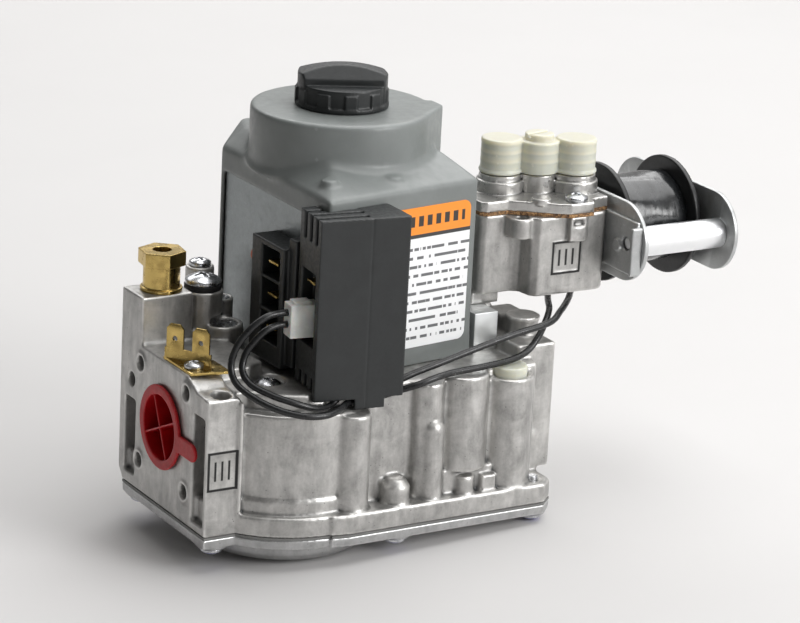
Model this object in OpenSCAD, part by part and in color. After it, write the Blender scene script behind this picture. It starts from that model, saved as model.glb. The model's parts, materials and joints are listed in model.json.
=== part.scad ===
// Combination gas control valve for a furnace or boiler: a die-cast body with an inlet and an
// outlet port, a painted operator cover with a turn knob, a clip-on connector module, a
// pressure regulator tower and a step-opening solenoid on its side.
//
// Every module is drawn from the casting's own datum: x = 0 on the inlet face, y = 0 on the
// front wall of the inlet end, z = 0 on the joint plane of the bottom cover. place() then moves
// it so that the origin is the centre of the inlet port on the inlet face.

/* [Ports] */
// Height of the inlet and outlet port centres above the joint plane
port_z = 28.5; // [28:0.5:29.5]
// Distance of the port centres behind the front wall
port_y = 32; // [31:0.5:33]
// Radius of the tapped ports, for 3/4 inch pipe
port_r = 12.1; // [11.8:0.1:12.3]
// Face to face length of the valve
face_to_face = 132; // [130:1:136]

/* [Casting] */
// Height of the front deck above the joint plane
deck_z = 47.5; // [47:0.5:48]
// Radius of the diaphragm chamber wall
chamber_r = 33; // [32.5:0.5:33.5]
// Thickness of the casting's bottom flange
flange_t = 7; // [6:0.5:8]
// Depth of the bulge in the bottom cover below the joint plane
bulge_depth = 10.3; // [10:0.1:11]

/* [Operator cover] */
// Height of the cover's upper edge above the joint plane
cover_edge_z = 110; // [109:1:112]
// Height of the round boss's flat top
boss_top_z = 129.6; // [129:0.1:130]
// Sheet thickness of the painted cover
cover_t = 1.2; // [1:0.1:1.4]
// Radius of the knob's flange
knob_r = 16; // [15:0.5:17]
// Angle that the knob turns from off to on
knob_turn = 90; // [90:90:90]

/* [Regulator and solenoid] */
// Height of the coil's axis above the joint plane
coil_z = 85.5; // [85:0.5:86]
// Distance between the two yoke plates
yoke_gap = 36; // [35:0.5:37]
// Radius of the bobbin's flanges
bobbin_r = 21; // [20:0.5:21]

/* [Connector module] */
// Height of the module's main block
module_h = 61.7; // [60:0.1:62]

/* [Hidden] */

fine = 64;
mid = 40;
coarse = 24;
gap = 0.3;
eps = 0.01;
cut = 1;

// Casting
chamber = [40, 22];
flange_r = chamber_r + 3;
flange_front_y = -16;
flange_right_x = 127.5;
flange_rear_y = 80;
inlet_end_l = 12;
step_z = 51.8;
block_z = 68.3;
wall_y = -7.5;
shoulder_z = 41.4;
deck_rear_z = 48;
boss_low = [31, 50.5];
boss_small = [35.5, 60.5];
deck_screw = [31.5, 69];
chamber_screw = [29, 13];
pilot_screw_axis = [26, 56];
seat_z = 9;
seat_r = 10;
stem_axis = [72, 47];
inlet_bolts = [33.5, 34.5];
outlet_bolts = [38, 30];
bolt_r = 2.4;
bottom_screw_xy = [[5.5, 5], [5.5, 57], [66.5, -10.8], [121, -10], [121, 74], [66.5, 74.5]];
bottom_screw_r = 1.9;

// Bottom cover and main valve
diaphragm_t = 0.8;
cover_plate_t = 3.4;
bulge_r = 31.6;

// Operator cover
cover_front_l = [42.5, 1];
cover_front_r = [105, 9.5];
cover_rear_y = 88;
cover_side_z = 101.5;
cover_slope_z = 116.4;
knob_axis = stem_axis;
boss_r = 31;
knob_bar_angle = -24;
shutoff_lift = 3;

// Operators under the cover
first_axis = [74, 71];
servo_axis = [62, 24];

// Regulator
reg_front_y = 6;
reg_right_x = 157;
reg_bottom_z = 66.5;
reg_foot_z = 61.5;
reg_gasket_z = 94.5;
reg_top_z = 99.3;
reg_cap_axis = [137.8, 24];
reg_cap_angle = -20;
lobe_pitch = 13.2;

// Solenoid
coil_y = 23.1;
yoke_x = 158.6;
yoke_t = 1.6;
bobbin_x = yoke_x + yoke_t + 3;
bobbin_l = yoke_gap - 6;
rod_offset = 27.3;
plunger_r = 4.6;

// Connector module
module_corner = [34.5, -8.4, 45.3];
module_turn = -8;
module_rear_z = 48.3;

// Pilot fitting
pilot_axis = [10.5, 56.5];

// Cords: each route runs through round points from the white plug to the coil
wire_r = 1.2;
wire_steps = 2;
wire_outer_points = [[30.6, 2.75, 73.6], [27, 3.2, 73.6], [22, 3, 73], [16.5, 3.4, 69.5],
    [12.5, 5, 63.5], [10.5, 5, 57], [11, 1.6, 51.8], [15, -5, 48], [21, -10.8, 45.2],
    [28, -14.4, 43.6], [34, -15.2, 43.1], [39, -14, 43.2], [43.6, -11.2, 43.5],
    [47.6, -8, 43.6], [52, -7.4, 43.8], [56, -8, 44.1], [60, -8.8, 44.7], [66, -9.6, 46],
    [72, -11.8, 47.9], [78, -12, 49.4], [86, -10.6, 50], [98, -9.6, 50.2], [110, -8, 50.5],
    [118, -6.2, 52], [123.6, -4.2, 55.8], [128.6, -0.8, 60], [133, 4, 62.4], [137.6, 12, 63],
    [143.6, 21, 62.8], [151, 29.6, 62.6], [160, 36.4, 63], [167.2, 39, 66.4], [171.2, 38, 71.6],
    [172.4, 35, 77]];
wire_inner_points = [[30.6, 2.75, 69.6], [26.6, 3, 69.6], [22, 3, 68.4], [18, 3.4, 65],
    [15.3, 4.4, 60.5], [13.6, 2.8, 55.6], [14.8, -1.2, 52], [19.5, -6.4, 49.4], [25, -9.8, 47.4],
    [30, -11.2, 45.6], [34.6, -11, 44.2], [38.6, -9.4, 43.5], [42, -7.6, 43.9], [46, -6.5, 46.2],
    [50, -6.6, 47], [54.5, -7.4, 47.4], [60, -8, 47.9], [66, -9, 49.4], [72, -9.2, 51.2],
    [82, -9, 53.4], [96, -8, 56.2], [112, -7, 59.2], [127, -5.4, 61], [134, -1.4, 63.2],
    [141, 5, 64.4], [147, 12.4, 64.4], [154, 22, 64], [160.6, 30.4, 63.2], [166, 35, 65],
    [169, 36, 70], [169.6, 34, 75.4]];

// Moves a module from the casting's datum to the port's centre
module place() {
    translate([0, -port_y, -port_z]) children();
}

// Extrudes a y-z outline along x
module along_x(length) {
    rotate([90, 0, 90]) linear_extrude(length) children();
}

module rod_x(r, length, sides = mid) {
    rotate([0, 90, 0]) cylinder(r = r, h = length, $fn = sides);
}

module ring(outer_r, inner_r, height, sides = mid) {
    difference() {
        cylinder(r = outer_r, h = height, $fn = sides);
        translate([0, 0, -cut]) cylinder(r = inner_r, h = height + 2 * cut, $fn = sides);
    }
}

// Pan head screw with its head above z = 0 and its shank below
module pan_screw(head_r, head_h, shank_r, shank_l) {
    difference() {
        union() {
            intersection() {
                cylinder(r = head_r, h = head_h, $fn = mid);
                translate([0, 0, head_h - head_r * 1.7])
                    sphere(r = head_r * 1.7, $fn = mid);
            }
            translate([0, 0, -shank_l]) cylinder(r = shank_r, h = shank_l + eps, $fn = coarse);
        }
        for (a = [0, 90])
            rotate([0, 0, a])
                translate([-head_r * 0.5, -head_r * 0.09, head_h * 0.5])
                    cube([head_r, head_r * 0.18, head_h]);
    }
}

// Flush plug with a screwdriver slot
module slotted_plug(r, h) {
    difference() {
        cylinder(r = r, h = h, $fn = mid);
        translate([0, 0, h]) cube([1.4 * r, 0.8, 1], center = true);
    }
}

// Helpers for swept tubes
function unit(v) = v / norm(v);

function spline_point(a, b, c, d, t) =
    0.5 * ((2 * b) + (c - a) * t + (2 * a - 5 * b + 4 * c - d) * t * t
        + (3 * b - a - 3 * c + d) * t * t * t);

function smooth_path(p, steps) =
    let (n = len(p))
    concat([for (i = [0 : n - 2], k = [0 : steps - 1])
        spline_point(p[max(i - 1, 0)], p[i], p[i + 1], p[min(i + 2, n - 1)], k / steps)],
        [p[n - 1]]);

function tangents(p) =
    let (n = len(p))
    [for (i = [0 : n - 1]) unit(p[min(i + 1, n - 1)] - p[max(i - 1, 0)])];

function side_vectors(t, i, last, found) =
    i >= len(t) ? found :
    let (next = unit(last - (last * t[i]) * t[i]))
    side_vectors(t, i + 1, next, concat(found, [next]));

function first_side(t) = unit(cross(t, abs(t[2]) < 0.9 ? [0, 0, 1] : [1, 0, 0]));

module tube(path, r, sides) {
    n = len(path);
    t = tangents(path);
    u = side_vectors(t, 1, first_side(t[0]), [first_side(t[0])]);
    points = [for (i = [0 : n - 1], k = [0 : sides - 1])
        path[i] + r * (cos(k * 360 / sides) * u[i] + sin(k * 360 / sides) * cross(t[i], u[i]))];
    walls = [for (i = [0 : n - 2], k = [0 : sides - 1])
        let (next = (k + 1) % sides)
        [i * sides + k, (i + 1) * sides + k, (i + 1) * sides + next, i * sides + next]];
    start = [for (k = [0 : sides - 1]) k];
    finish = [for (k = [sides - 1 : -1 : 0]) (n - 1) * sides + k];
    polyhedron(points = points, faces = concat(walls, [start], [finish]), convexity = 8);
}

// Compression spring standing on z = 0, its radius narrowing to top_r
module coil_spring(bottom_r, top_r, wire, height, turns) {
    count = turns * 12;
    path = [for (i = [0 : count])
        let (s = i / count, r = bottom_r + (top_r - bottom_r) * s)
        [r * cos(i * 30), r * sin(i * 30), wire + s * (height - 2 * wire)]];
    tube(path, wire, 6);
}

// ---- Casting ----

module inlet_end_outline() {
    polygon([[0, 0], [61, 0], [64.5, 3.5], [64.5, block_z], [49, block_z], [49, step_z],
        [16, step_z], [11, 49.7], [9, 48.3], [0, deck_z]]);
}

module flange_outline() {
    translate(chamber) circle(r = flange_r, $fn = fine);
    square([30, 61]);
    polygon([[40, flange_front_y + 1], [46, flange_front_y], [flange_right_x - 5, flange_front_y],
        [flange_right_x, flange_front_y + 4.5], [flange_right_x, flange_rear_y - 5],
        [flange_right_x - 5, flange_rear_y], [46, flange_rear_y], [22, 66], [12, 61], [40, 40]]);
}

// Round front columns: x, y, radius, bottom height and top height
front_columns = [[49.5, -8.8, 6.2, 0, 40.5], [79.3, -10.5, 4.3, 0, 31], [78.5, -6.6, 6.3, 0, 47.2],
    [93, -6, 9, 15, 48.4], [111, -7, 8.5, 0, 45.6], [92.2, -11.8, 3.4, 0, 13.5],
    [66.2, -10.2, 4.9, 0, 13]];

module front_columns_solid() {
    for (c = front_columns)
        translate([c[0], c[1], c[3]]) cylinder(r = c[2], h = c[4] - c[3], $fn = mid);
    translate([79.3, -10.5, 31]) sphere(r = 4.3, $fn = mid);
    translate([66.2, -10.2, 13]) cylinder(r1 = 4.9, r2 = 2.8, h = 2.6, $fn = mid);
    translate([61.6, -10.2, 0]) cube([9.2, 4, 14.4]);
    translate([84, -11.6, 0]) cube([19, 6, 15.5]);
    translate([98, -14.2, 0]) cube([5.5, 6, 12.6]);
    translate([85, -5, 14]) cube([18, 6, 34]);
    translate([99, -9.5, 14]) cube([8, 8, 31]);
}

module deck_bosses() {
    translate([boss_low[0], boss_low[1], 40]) cylinder(r = 7.2, h = 16, $fn = mid);
    translate([boss_small[0], boss_small[1], 40]) cylinder(r = 4.3, h = 22, $fn = mid);
    translate([deck_screw[0], deck_screw[1], 40]) cylinder(r = 5, h = 31, $fn = mid);
    translate([pilot_screw_axis[0], pilot_screw_axis[1], 40]) cylinder(r = 7, h = 27, $fn = mid);
}

module casting_solid() {
    along_x(inlet_end_l) inlet_end_outline();
    translate([0, 5, 0]) cube([40, 57, deck_z]);
    translate([10, 1, 0]) cube([8, 10, shoulder_z]);
    linear_extrude(flange_t) flange_outline();
    translate([chamber[0], chamber[1], 0]) cylinder(r = chamber_r + 0.8, h = 12, $fn = fine);
    translate([chamber[0], chamber[1], 0]) cylinder(r = chamber_r, h = shoulder_z, $fn = fine);
    translate([chamber[0], chamber[1], 0]) cylinder(r = chamber_r - 4, h = deck_z, $fn = fine);
    translate([44, wall_y, 0]) cube([78, 84.5, deck_rear_z]);
    translate([52, 74, 41]) cube([54, 14, deck_rear_z - 41]);
    translate([10, 16, 40]) cube([20, 46, step_z - 40]);
    translate([10, 49, 40]) cube([9.2, 15.5, block_z - 40]);
    translate([14, 50, 40]) cube([24, 22, 14]);
    translate([22, 50, 0]) cube([30, 16, deck_rear_z]);
    front_columns_solid();
    deck_bosses();
    outlet_end();
    regulator_stand();
}

module outlet_end() {
    translate([117, -3, 8]) cube([face_to_face - 117, 68, 45]);
    translate([126, 9.5, 52]) cylinder(r = 5.4, h = 8, $fn = mid);
    translate([126, 9.5, 58.6]) cylinder(r = 6, h = 1.4, $fn = mid);
    translate([120.6, 10, 48]) cube([10.8, 16, 10.6]);
}

module regulator_stand() {
    translate([112, 24, 44]) cube([10.5, 18, reg_foot_z - 44]);
}

module end_bolt_holes(x, spacing) {
    for (sy = [-1, 1], sz = [-1, 1])
        translate([x, port_y + sy * spacing[0] / 2, port_z + sz * spacing[1] / 2])
            rod_x(bolt_r, 11);
}

module casting_passages() {
    // Inlet port, inlet gallery and outlet port
    translate([-cut, port_y, port_z]) rod_x(port_r, 17 + cut, fine);
    translate([14, 34, 24]) cube([68, 24, 18]);
    translate([14, port_y - 10, 24]) cube([12, 20, 14]);
    translate([face_to_face - 16, port_y, port_z]) rod_x(port_r, 16 + cut, fine);
    // Shut-off seat and the crossover above the main valve
    translate([stem_axis[0], stem_axis[1], 20]) cylinder(r = 6, h = 5, $fn = mid);
    translate([30, 13, 13]) cube([50, 42, 8]);
    translate([chamber[0], chamber[1], seat_z - cut]) cylinder(r = seat_r, h = 6, $fn = mid);
    // Diaphragm chamber, outlet duct and outlet pocket
    translate([chamber[0], chamber[1], -cut]) cylinder(r = 29, h = seat_z + cut, $fn = fine);
    translate([62, 13, 2.5]) cube([24, 22, 6.5]);
    translate([84, 5, -cut]) cube([32, 54, 43]);
    // Feed to the regulator, and the wires' groove in the front of the deck
    translate([117, 33, 36]) cylinder(r = 3, h = 40, $fn = coarse);
    translate([40, -13, shoulder_z]) cube([20, 7.8, 10]);
    translate([34.2, -15, 45]) cube([32.6, 9.4, 10]);
    // Guide bore of the shut-off stem
    translate([stem_axis[0], stem_axis[1], 40]) cylinder(r = 2.05, h = 20, $fn = coarse);
}

module casting_holes() {
    end_bolt_holes(-cut, inlet_bolts);
    end_bolt_holes(face_to_face - 10, outlet_bolts);
    translate([-cut, 56, 37.8]) rod_x(bolt_r, 9);
    for (p = bottom_screw_xy)
        translate([p[0], p[1], -cut]) cylinder(r = bottom_screw_r, h = 11, $fn = coarse);
    // Lightening pockets in the inlet face
    translate([-cut, 52.8, 4]) cube([2.4 + cut, 7.7, 27]);
    translate([-cut, 52.8, 11]) cube([7 + cut, 7.7, 20]);
    translate([-cut, 2.2, 3]) cube([2.4 + cut, 8, 37.5]);
    translate([-cut, 2.2, 11]) cube([7 + cut, 8, 29.5]);
    // Recesses on the deck
    translate([6.5, 4.2, deck_z - 5]) cylinder(r = 3.2, h = 10, $fn = coarse);
    translate([chamber_screw[0], chamber_screw[1], deck_z - 1.6]) cylinder(r = 6, h = 10, $fn = mid);
    translate([chamber_screw[0], chamber_screw[1], deck_z - 9]) cylinder(r = 1.6, h = 9, $fn = coarse);
    translate([boss_low[0], boss_low[1], 54.4]) cylinder(r = 5.2, h = 4, $fn = mid);
    translate([boss_small[0], boss_small[1], 60.6]) cylinder(r = 3.2, h = 4, $fn = mid);
    translate([pilot_screw_axis[0], pilot_screw_axis[1], 55.5]) cylinder(r = 3.05, h = 14, $fn = coarse);
    translate([deck_screw[0], deck_screw[1], 63]) cylinder(r = 1.6, h = 10, $fn = coarse);
    translate([pilot_axis[0], pilot_axis[1], 56]) cylinder(r = 5.05, h = 14, $fn = mid);
    translate([111, -7, 38]) cylinder(r = 6.2, h = 10, $fn = mid);
    translate([4.8, 20, step_z - 8]) cylinder(r = 1.6, h = 10, $fn = coarse);
    // Seats of the two operators
    for (p = [first_axis, servo_axis])
        translate([p[0], p[1], 40]) cylinder(r = 2, h = 10, $fn = coarse);
}

module main_casting() {
    color("silver")
    place()
    difference() {
        casting_solid();
        casting_passages();
        casting_holes();
    }
}

// ---- Bottom cover, main valve ----

module screw_clearance(bottom, height) {
    for (p = bottom_screw_xy)
        translate([p[0], p[1], bottom]) cylinder(r = bottom_screw_r + 0.2, h = height, $fn = coarse);
}

module main_diaphragm() {
    color("dimgray")
    place()
    difference() {
        union() {
            translate([0, 0, -diaphragm_t]) linear_extrude(diaphragm_t) flange_outline();
            translate([chamber[0], chamber[1], -2.3]) cylinder(r = 20, h = 2.3, $fn = fine);
        }
        screw_clearance(-cut - diaphragm_t, 3);
        translate([chamber[0], chamber[1], -1.5]) cylinder(r = 19, h = 4, $fn = fine);
        translate([chamber[0], chamber[1], -4]) cylinder(r = 3.3, h = 8, $fn = coarse);
        translate([84, 5, -cut - diaphragm_t]) cube([32, 54, 4]);
    }
}

module bottom_cover() {
    plate_z = -diaphragm_t - cover_plate_t;
    color("darkgray")
    place()
    difference() {
        union() {
            translate([0, 0, plate_z]) linear_extrude(cover_plate_t) flange_outline();
            translate([chamber[0], chamber[1], -bulge_depth])
                cylinder(r1 = bulge_r - 2.5, r2 = bulge_r, h = 2.5, $fn = fine);
            translate([chamber[0], chamber[1], 2.5 - bulge_depth])
                cylinder(r = bulge_r, h = bulge_depth - 2.5 - diaphragm_t, $fn = fine);
            for (p = bottom_screw_xy)
                translate([p[0], p[1], plate_z - 1]) cylinder(r = 5, h = 1.5, $fn = mid);
        }
        translate([chamber[0], chamber[1], 2 - bulge_depth])
            cylinder(r = bulge_r - 2, h = bulge_depth, $fn = fine);
        screw_clearance(-6, 8);
    }
}

module bottom_screws() {
    head_z = -diaphragm_t - cover_plate_t - 1;
    color("lightsteelblue")
    place()
    for (p = bottom_screw_xy)
        translate([p[0], p[1], head_z]) mirror([0, 0, 1]) pan_screw(3.8, 2.3, bottom_screw_r, 13.6);
}

module main_valve() {
    color("darkkhaki")
    place()
    translate([chamber[0], chamber[1], 0]) {
        translate([0, 0, -3.6]) cylinder(r = 17, h = 1.2, $fn = fine);
        translate([0, 0, -3]) cylinder(r = 3, h = 8, $fn = coarse);
        translate([0, 0, 4.6]) cylinder(r = 13.5, h = 4.1, $fn = fine);
    }
}

module main_spring() {
    color("gray")
    place()
    translate([chamber[0], chamber[1], 2 - bulge_depth])
        coil_spring(13, 9, 0.55, bulge_depth - 5.6, 3);
}

module inlet_screen() {
    color("lightgray")
    place()
    translate([14.4, port_y, port_z])
    difference() {
        rod_x(port_r - 0.15, 1.2);
        for (iy = [-3 : 3], iz = [-3 : 3])
            if (norm([iy, iz]) < 3.4)
                translate([-cut, iy * 2.9, iz * 2.9]) rod_x(1.1, 4, 16);
    }
}

// Push-in dust cap with cross ribs and a pull tab
module inlet_cap() {
    color("crimson")
    place()
    translate([0, port_y, port_z]) {
        difference() {
            union() {
                translate([-1.5, 0, 0]) rod_x(14.5, 1.2, fine);
                translate([-1.4, 0, 0]) rod_x(port_r - 0.35, 9.4, fine);
                translate([-1.5, -23.4, -1.3]) rod_x(3.1, 1.2);
                translate([-1.5, -23.4, -4.4]) cube([1.2, 10, 6.2]);
            }
            translate([-3, 0, 0]) rod_x(port_r - 0.9, 9.9, fine);
        }
        for (a = [-25, 65])
            rotate([a, 0, 0]) translate([-1.2, -port_r + 0.6, -0.35]) cube([8, 2 * port_r - 1.2, 0.7]);
    }
}

// ---- Operator cover ----

// Plan of the cover, drawn inwards by inset
module cover_plan(inset) {
    polygon([[cover_front_l[0] + inset, cover_front_l[1] + inset],
        [cover_front_r[0] - inset, cover_front_r[1] + inset],
        [cover_front_r[0] - inset, cover_rear_y - inset], [54 + inset, cover_rear_y - inset],
        [cover_front_l[0] + inset, 77 - inset]]);
}

module cover_top_plan(inset) {
    polygon([[54 + inset, 21 + inset], [99 - inset, 27.5 + inset], [99 - inset, cover_rear_y - inset],
        [56 + inset, cover_rear_y - inset], [52 + inset, 77 - inset]]);
}

module cover_block(inset, bottom_z) {
    translate([0, 0, bottom_z]) linear_extrude(cover_edge_z - inset - bottom_z) cover_plan(inset);
    hull() {
        translate([0, 0, cover_edge_z - inset - eps]) linear_extrude(eps) cover_plan(inset);
        translate([0, 0, cover_slope_z - inset]) linear_extrude(eps) cover_top_plan(inset);
    }
}

// Round boss that runs out into a square corner, its top falling away to the rear
module cover_boss(inset, bottom_z) {
    top_z = boss_top_z - inset;
    translate([0, 0, bottom_z]) linear_extrude(top_z - bottom_z)
        translate(knob_axis) circle(r = boss_r - inset, $fn = fine);
    intersection() {
        translate([0, 0, bottom_z]) linear_extrude(top_z - bottom_z)
            polygon([[93.3, 24.5 + inset], [cover_front_r[0] - inset, 35 + inset],
                [cover_front_r[0] - inset, cover_rear_y - 4], [72, 78 - inset]]);
        along_x(cover_front_r[0] + 10)
            polygon([[20, bottom_z], [20, top_z], [42, top_z], [cover_rear_y - 4, cover_edge_z + 2 - inset],
                [cover_rear_y - 4, bottom_z]]);
    }
}

module top_cover() {
    color("slategray")
    place()
    difference() {
        union() {
            cover_block(0, deck_rear_z);
            cover_boss(0, cover_edge_z);
            for (pad = [[48.6, 4.6], [73.2, 3.4]])
                translate([pad[0], 12.5, cover_edge_z]) cylinder(r = 3, h = pad[1], $fn = coarse);
        }
        translate([0, 0, -cut]) cover_block(cover_t, deck_z);
        cover_boss(cover_t, cover_edge_z);
        translate([knob_axis[0], knob_axis[1], cover_edge_z]) cylinder(r = 5, h = 30, $fn = mid);
        // The galvanised panel shows through the left side
        translate([cover_front_l[0] - cut, 10, deck_z]) cube([6, 65, cover_side_z - deck_z]);
    }
}

// Galvanised sheet: the left side and, bent under the operators, a floor
module side_panel() {
    color("lightslategray")
    place() {
        translate([43.9, 6, deck_rear_z]) cube([1, 69.5, 56]);
        difference() {
            union() {
                translate([43.9, 12, deck_rear_z]) cube([58.6, 63.5, 1]);
                translate([56, 12, deck_rear_z]) cube([46.5, 72.5, 1]);
            }
            translate([stem_axis[0], stem_axis[1], deck_z]) cylinder(r = 7, h = 4, $fn = mid);
            for (p = [first_axis, servo_axis])
                translate([p[0], p[1], deck_z]) cylinder(r = 6.2, h = 4, $fn = mid);
        }
    }
}

// Generic label: plain bars stand where a printed label has its text
module rating_label() {
    dx = cover_front_r[0] - cover_front_l[0];
    dy = cover_front_r[1] - cover_front_l[1];
    color("white")
    place()
    translate([cover_front_l[0], cover_front_l[1], 0])
    rotate([0, 0, atan2(dy, dx)])
    translate([16, 0, 54.5])
    rotate([90, 0, 0])
    linear_extrude(0.2)
    union() {
        translate([3, 0]) square([38, 49]);
        translate([0, 3]) square([44, 43]);
        for (x = [3, 41], y = [3, 46])
            translate([x, y]) circle(r = 3, $fn = coarse);
    }
}

module control_knob() {
    base_z = boss_top_z + gap;
    color("darkslategray")
    place()
    translate([knob_axis[0], knob_axis[1], base_z])
    difference() {
        union() {
            cylinder(r = knob_r, h = 1.4, $fn = fine);
            cylinder(r = knob_r - 1, h = 7.5, $fn = fine);
            for (i = [0 : 9])
                rotate([0, 0, i * 36]) translate([knob_r - 2.4, -2.2, 0]) cube([2.1, 4.4, 6]);
            intersection() {
                rotate([0, 0, knob_bar_angle]) translate([-knob_r + 0.6, 0, 0])
                    along_x(2 * knob_r - 1.2)
                        polygon([[-7, 0], [-7, 9.6], [-2, 15], [2, 15], [7, 9.6], [7, 0]]);
                rotate([90, 0, knob_bar_angle]) translate([0, -25, -20])
                    cylinder(r = 39, h = 40, $fn = fine);
                cylinder(r = knob_r - 0.7, h = 16, $fn = fine);
            }
        }
        translate([0, 0, -cut]) cylinder(r = 3.4, h = 7, $fn = coarse);
    }
}

// Barrel cam: the follower's cross pin rides in its two helical slots
module knob_barrel() {
    barrel_z = 55;
    slot_z = 60;
    slot_steps = 10;
    color("gold")
    place()
    translate([knob_axis[0], knob_axis[1], 0])
    difference() {
        union() {
            translate([0, 0, barrel_z]) cylinder(r = 5.6, h = 16, $fn = mid);
            translate([0, 0, barrel_z + 10]) cylinder(r = 3.4, h = 70.8, $fn = coarse);
        }
        translate([0, 0, barrel_z - cut]) cylinder(r = 3.4, h = 13, $fn = coarse);
        for (side = [0, 180], i = [0 : slot_steps])
            rotate([0, 0, side - i * knob_turn / slot_steps])
                translate([0, 0, slot_z + i * shutoff_lift / slot_steps]) rod_x(1.3, 8, 16);
    }
}

module shutoff_valve() {
    color("peru")
    place()
    translate([stem_axis[0], stem_axis[1], 0]) {
        translate([0, 0, 24.3]) cylinder(r = 8, h = 3, $fn = mid);
        translate([0, 0, 26]) cylinder(r = 2, h = 28, $fn = coarse);
        translate([0, 0, 53]) cylinder(r = 3, h = 9.5, $fn = coarse);
        translate([-5.4, 0, 60]) rod_x(0.9, 10.8, 16);
    }
}

// ---- Operators under the cover: each is a pot coil with a plunger on the deck ----

operator_z = 50;

module operator_bobbin(axis) {
    place()
    translate([axis[0], axis[1], operator_z]) {
        ring(6.8, 5.9, 26);
        ring(11.5, 5.9, 1.2);
        translate([0, 0, 24.8]) ring(11.5, 5.9, 1.2);
    }
}

module operator_winding(axis) {
    place()
    translate([axis[0], axis[1], operator_z + 1.2]) ring(10.8, 6.8, 23.6);
}

// Bent steel frame: two posts and a top plate with the fixed core
module operator_frame(axis) {
    place()
    translate([axis[0], axis[1], operator_z]) {
        for (x = [-13, 11.8]) translate([x, -7, 0]) cube([1.2, 14, 28]);
        translate([-13, -7, 26.8]) cube([26, 14, 1.2]);
        translate([0, 0, 19]) cylinder(r = 4.5, h = 8, $fn = mid);
    }
}

module operator_plunger(axis) {
    place()
    translate([axis[0], axis[1], 0]) {
        translate([0, 0, 48.3]) cylinder(r = 3.6, h = 1.4, $fn = mid);
        translate([0, 0, 49.5]) cylinder(r = 5.6, h = 15, $fn = mid);
    }
}

module operator_spring(axis) {
    place()
    translate([axis[0], axis[1], 64.6]) coil_spring(3.6, 3.6, 0.4, 4.3, 3);
}

module first_bobbin() {
    color("ivory") operator_bobbin(first_axis);
}

module first_winding() {
    color("sienna") operator_winding(first_axis);
}

module first_frame() {
    color("gainsboro") operator_frame(first_axis);
}

module first_plunger() {
    color("gray") operator_plunger(first_axis);
}

module first_spring() {
    color("silver") operator_spring(first_axis);
}

module servo_bobbin() {
    color("ivory") operator_bobbin(servo_axis);
}

module servo_winding() {
    color("sienna") operator_winding(servo_axis);
}

module servo_frame() {
    color("gainsboro") operator_frame(servo_axis);
}

module servo_plunger() {
    color("gray") operator_plunger(servo_axis);
}

module servo_spring() {
    color("silver") operator_spring(servo_axis);
}

// ---- Regulator tower ----

module regulator_plan() {
    polygon([[111, 17], [113, 15.3], [124, 15.3], [126.2, 13.5], [126.6, 8.5], [129, reg_front_y],
        [reg_right_x - 2.5, reg_front_y], [reg_right_x, reg_front_y + 2.5], [reg_right_x, 42],
        [111, 42]]);
}

// The lid's front runs straight across the corner from the left to the right lug
module regulator_lid_plan() {
    polygon([[111, 17], [113, 15.3], [121, 15.3], [135, 5.2], [139.2, 3], [148.2, 3],
        [150, 7], [reg_right_x, 8], [reg_right_x, 42], [111, 42]]);
}

reg_screw_xy = [[143.5, 7.5], [115, 40], [152, 40]];

function lobe_xy(i) =
    reg_cap_axis + i * lobe_pitch * [cos(reg_cap_angle), sin(reg_cap_angle)];

module screw_lugs(bottom, height, r) {
    for (p = reg_screw_xy)
        translate([p[0], p[1], bottom]) cylinder(r = r, h = height, $fn = mid);
}

module regulator_body() {
    color("silver")
    place()
    difference() {
        union() {
            translate([0, 0, reg_bottom_z]) linear_extrude(reg_gasket_z - reg_bottom_z) regulator_plan();
            translate([111, 20, reg_foot_z]) cube([11.5, 22, 8]);
            screw_lugs(reg_gasket_z - 9, 9, 4.4);
            translate([120, 11.7, 87]) cube([8.5, 8, 7.2]);
            translate([124.25, 11.7, 87]) cylinder(r = 4.25, h = 7.2, $fn = mid);
            translate([139.4, 3.2, reg_gasket_z - 8.5]) cube([6.6, 5, 8.5]);
        }
        translate([124.25, 11.4, 91]) cylinder(r = 2.4, h = 4, $fn = coarse);
        translate([140.6, 2, reg_gasket_z - 3.4]) cube([4.2, 2.4, 2.2]);
        for (i = [-1, 1])
            translate([lobe_xy(i)[0], lobe_xy(i)[1], 76]) cylinder(r = 6, h = 30, $fn = mid);
        translate([117, 33, 60]) cylinder(r = 3, h = 14, $fn = coarse);
        translate([117, 33, 73]) rod_x(3, 20, coarse);
        translate([reg_right_x - 8, coil_y, coil_z]) rod_x(3, 10, coarse);
        screw_lugs(reg_gasket_z - 10, 12, 1.5);
    }
}

module regulator_gasket() {
    color("saddlebrown")
    place()
    difference() {
        union() {
            translate([0, 0, reg_gasket_z]) linear_extrude(1.2) regulator_lid_plan();
            screw_lugs(reg_gasket_z, 1.2, 4.3);
        }
        for (i = [-1, 1])
            translate([lobe_xy(i)[0], lobe_xy(i)[1], 90]) cylinder(r = 6, h = 12, $fn = mid);
        screw_lugs(90, 12, 1.7);
    }
}

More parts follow.
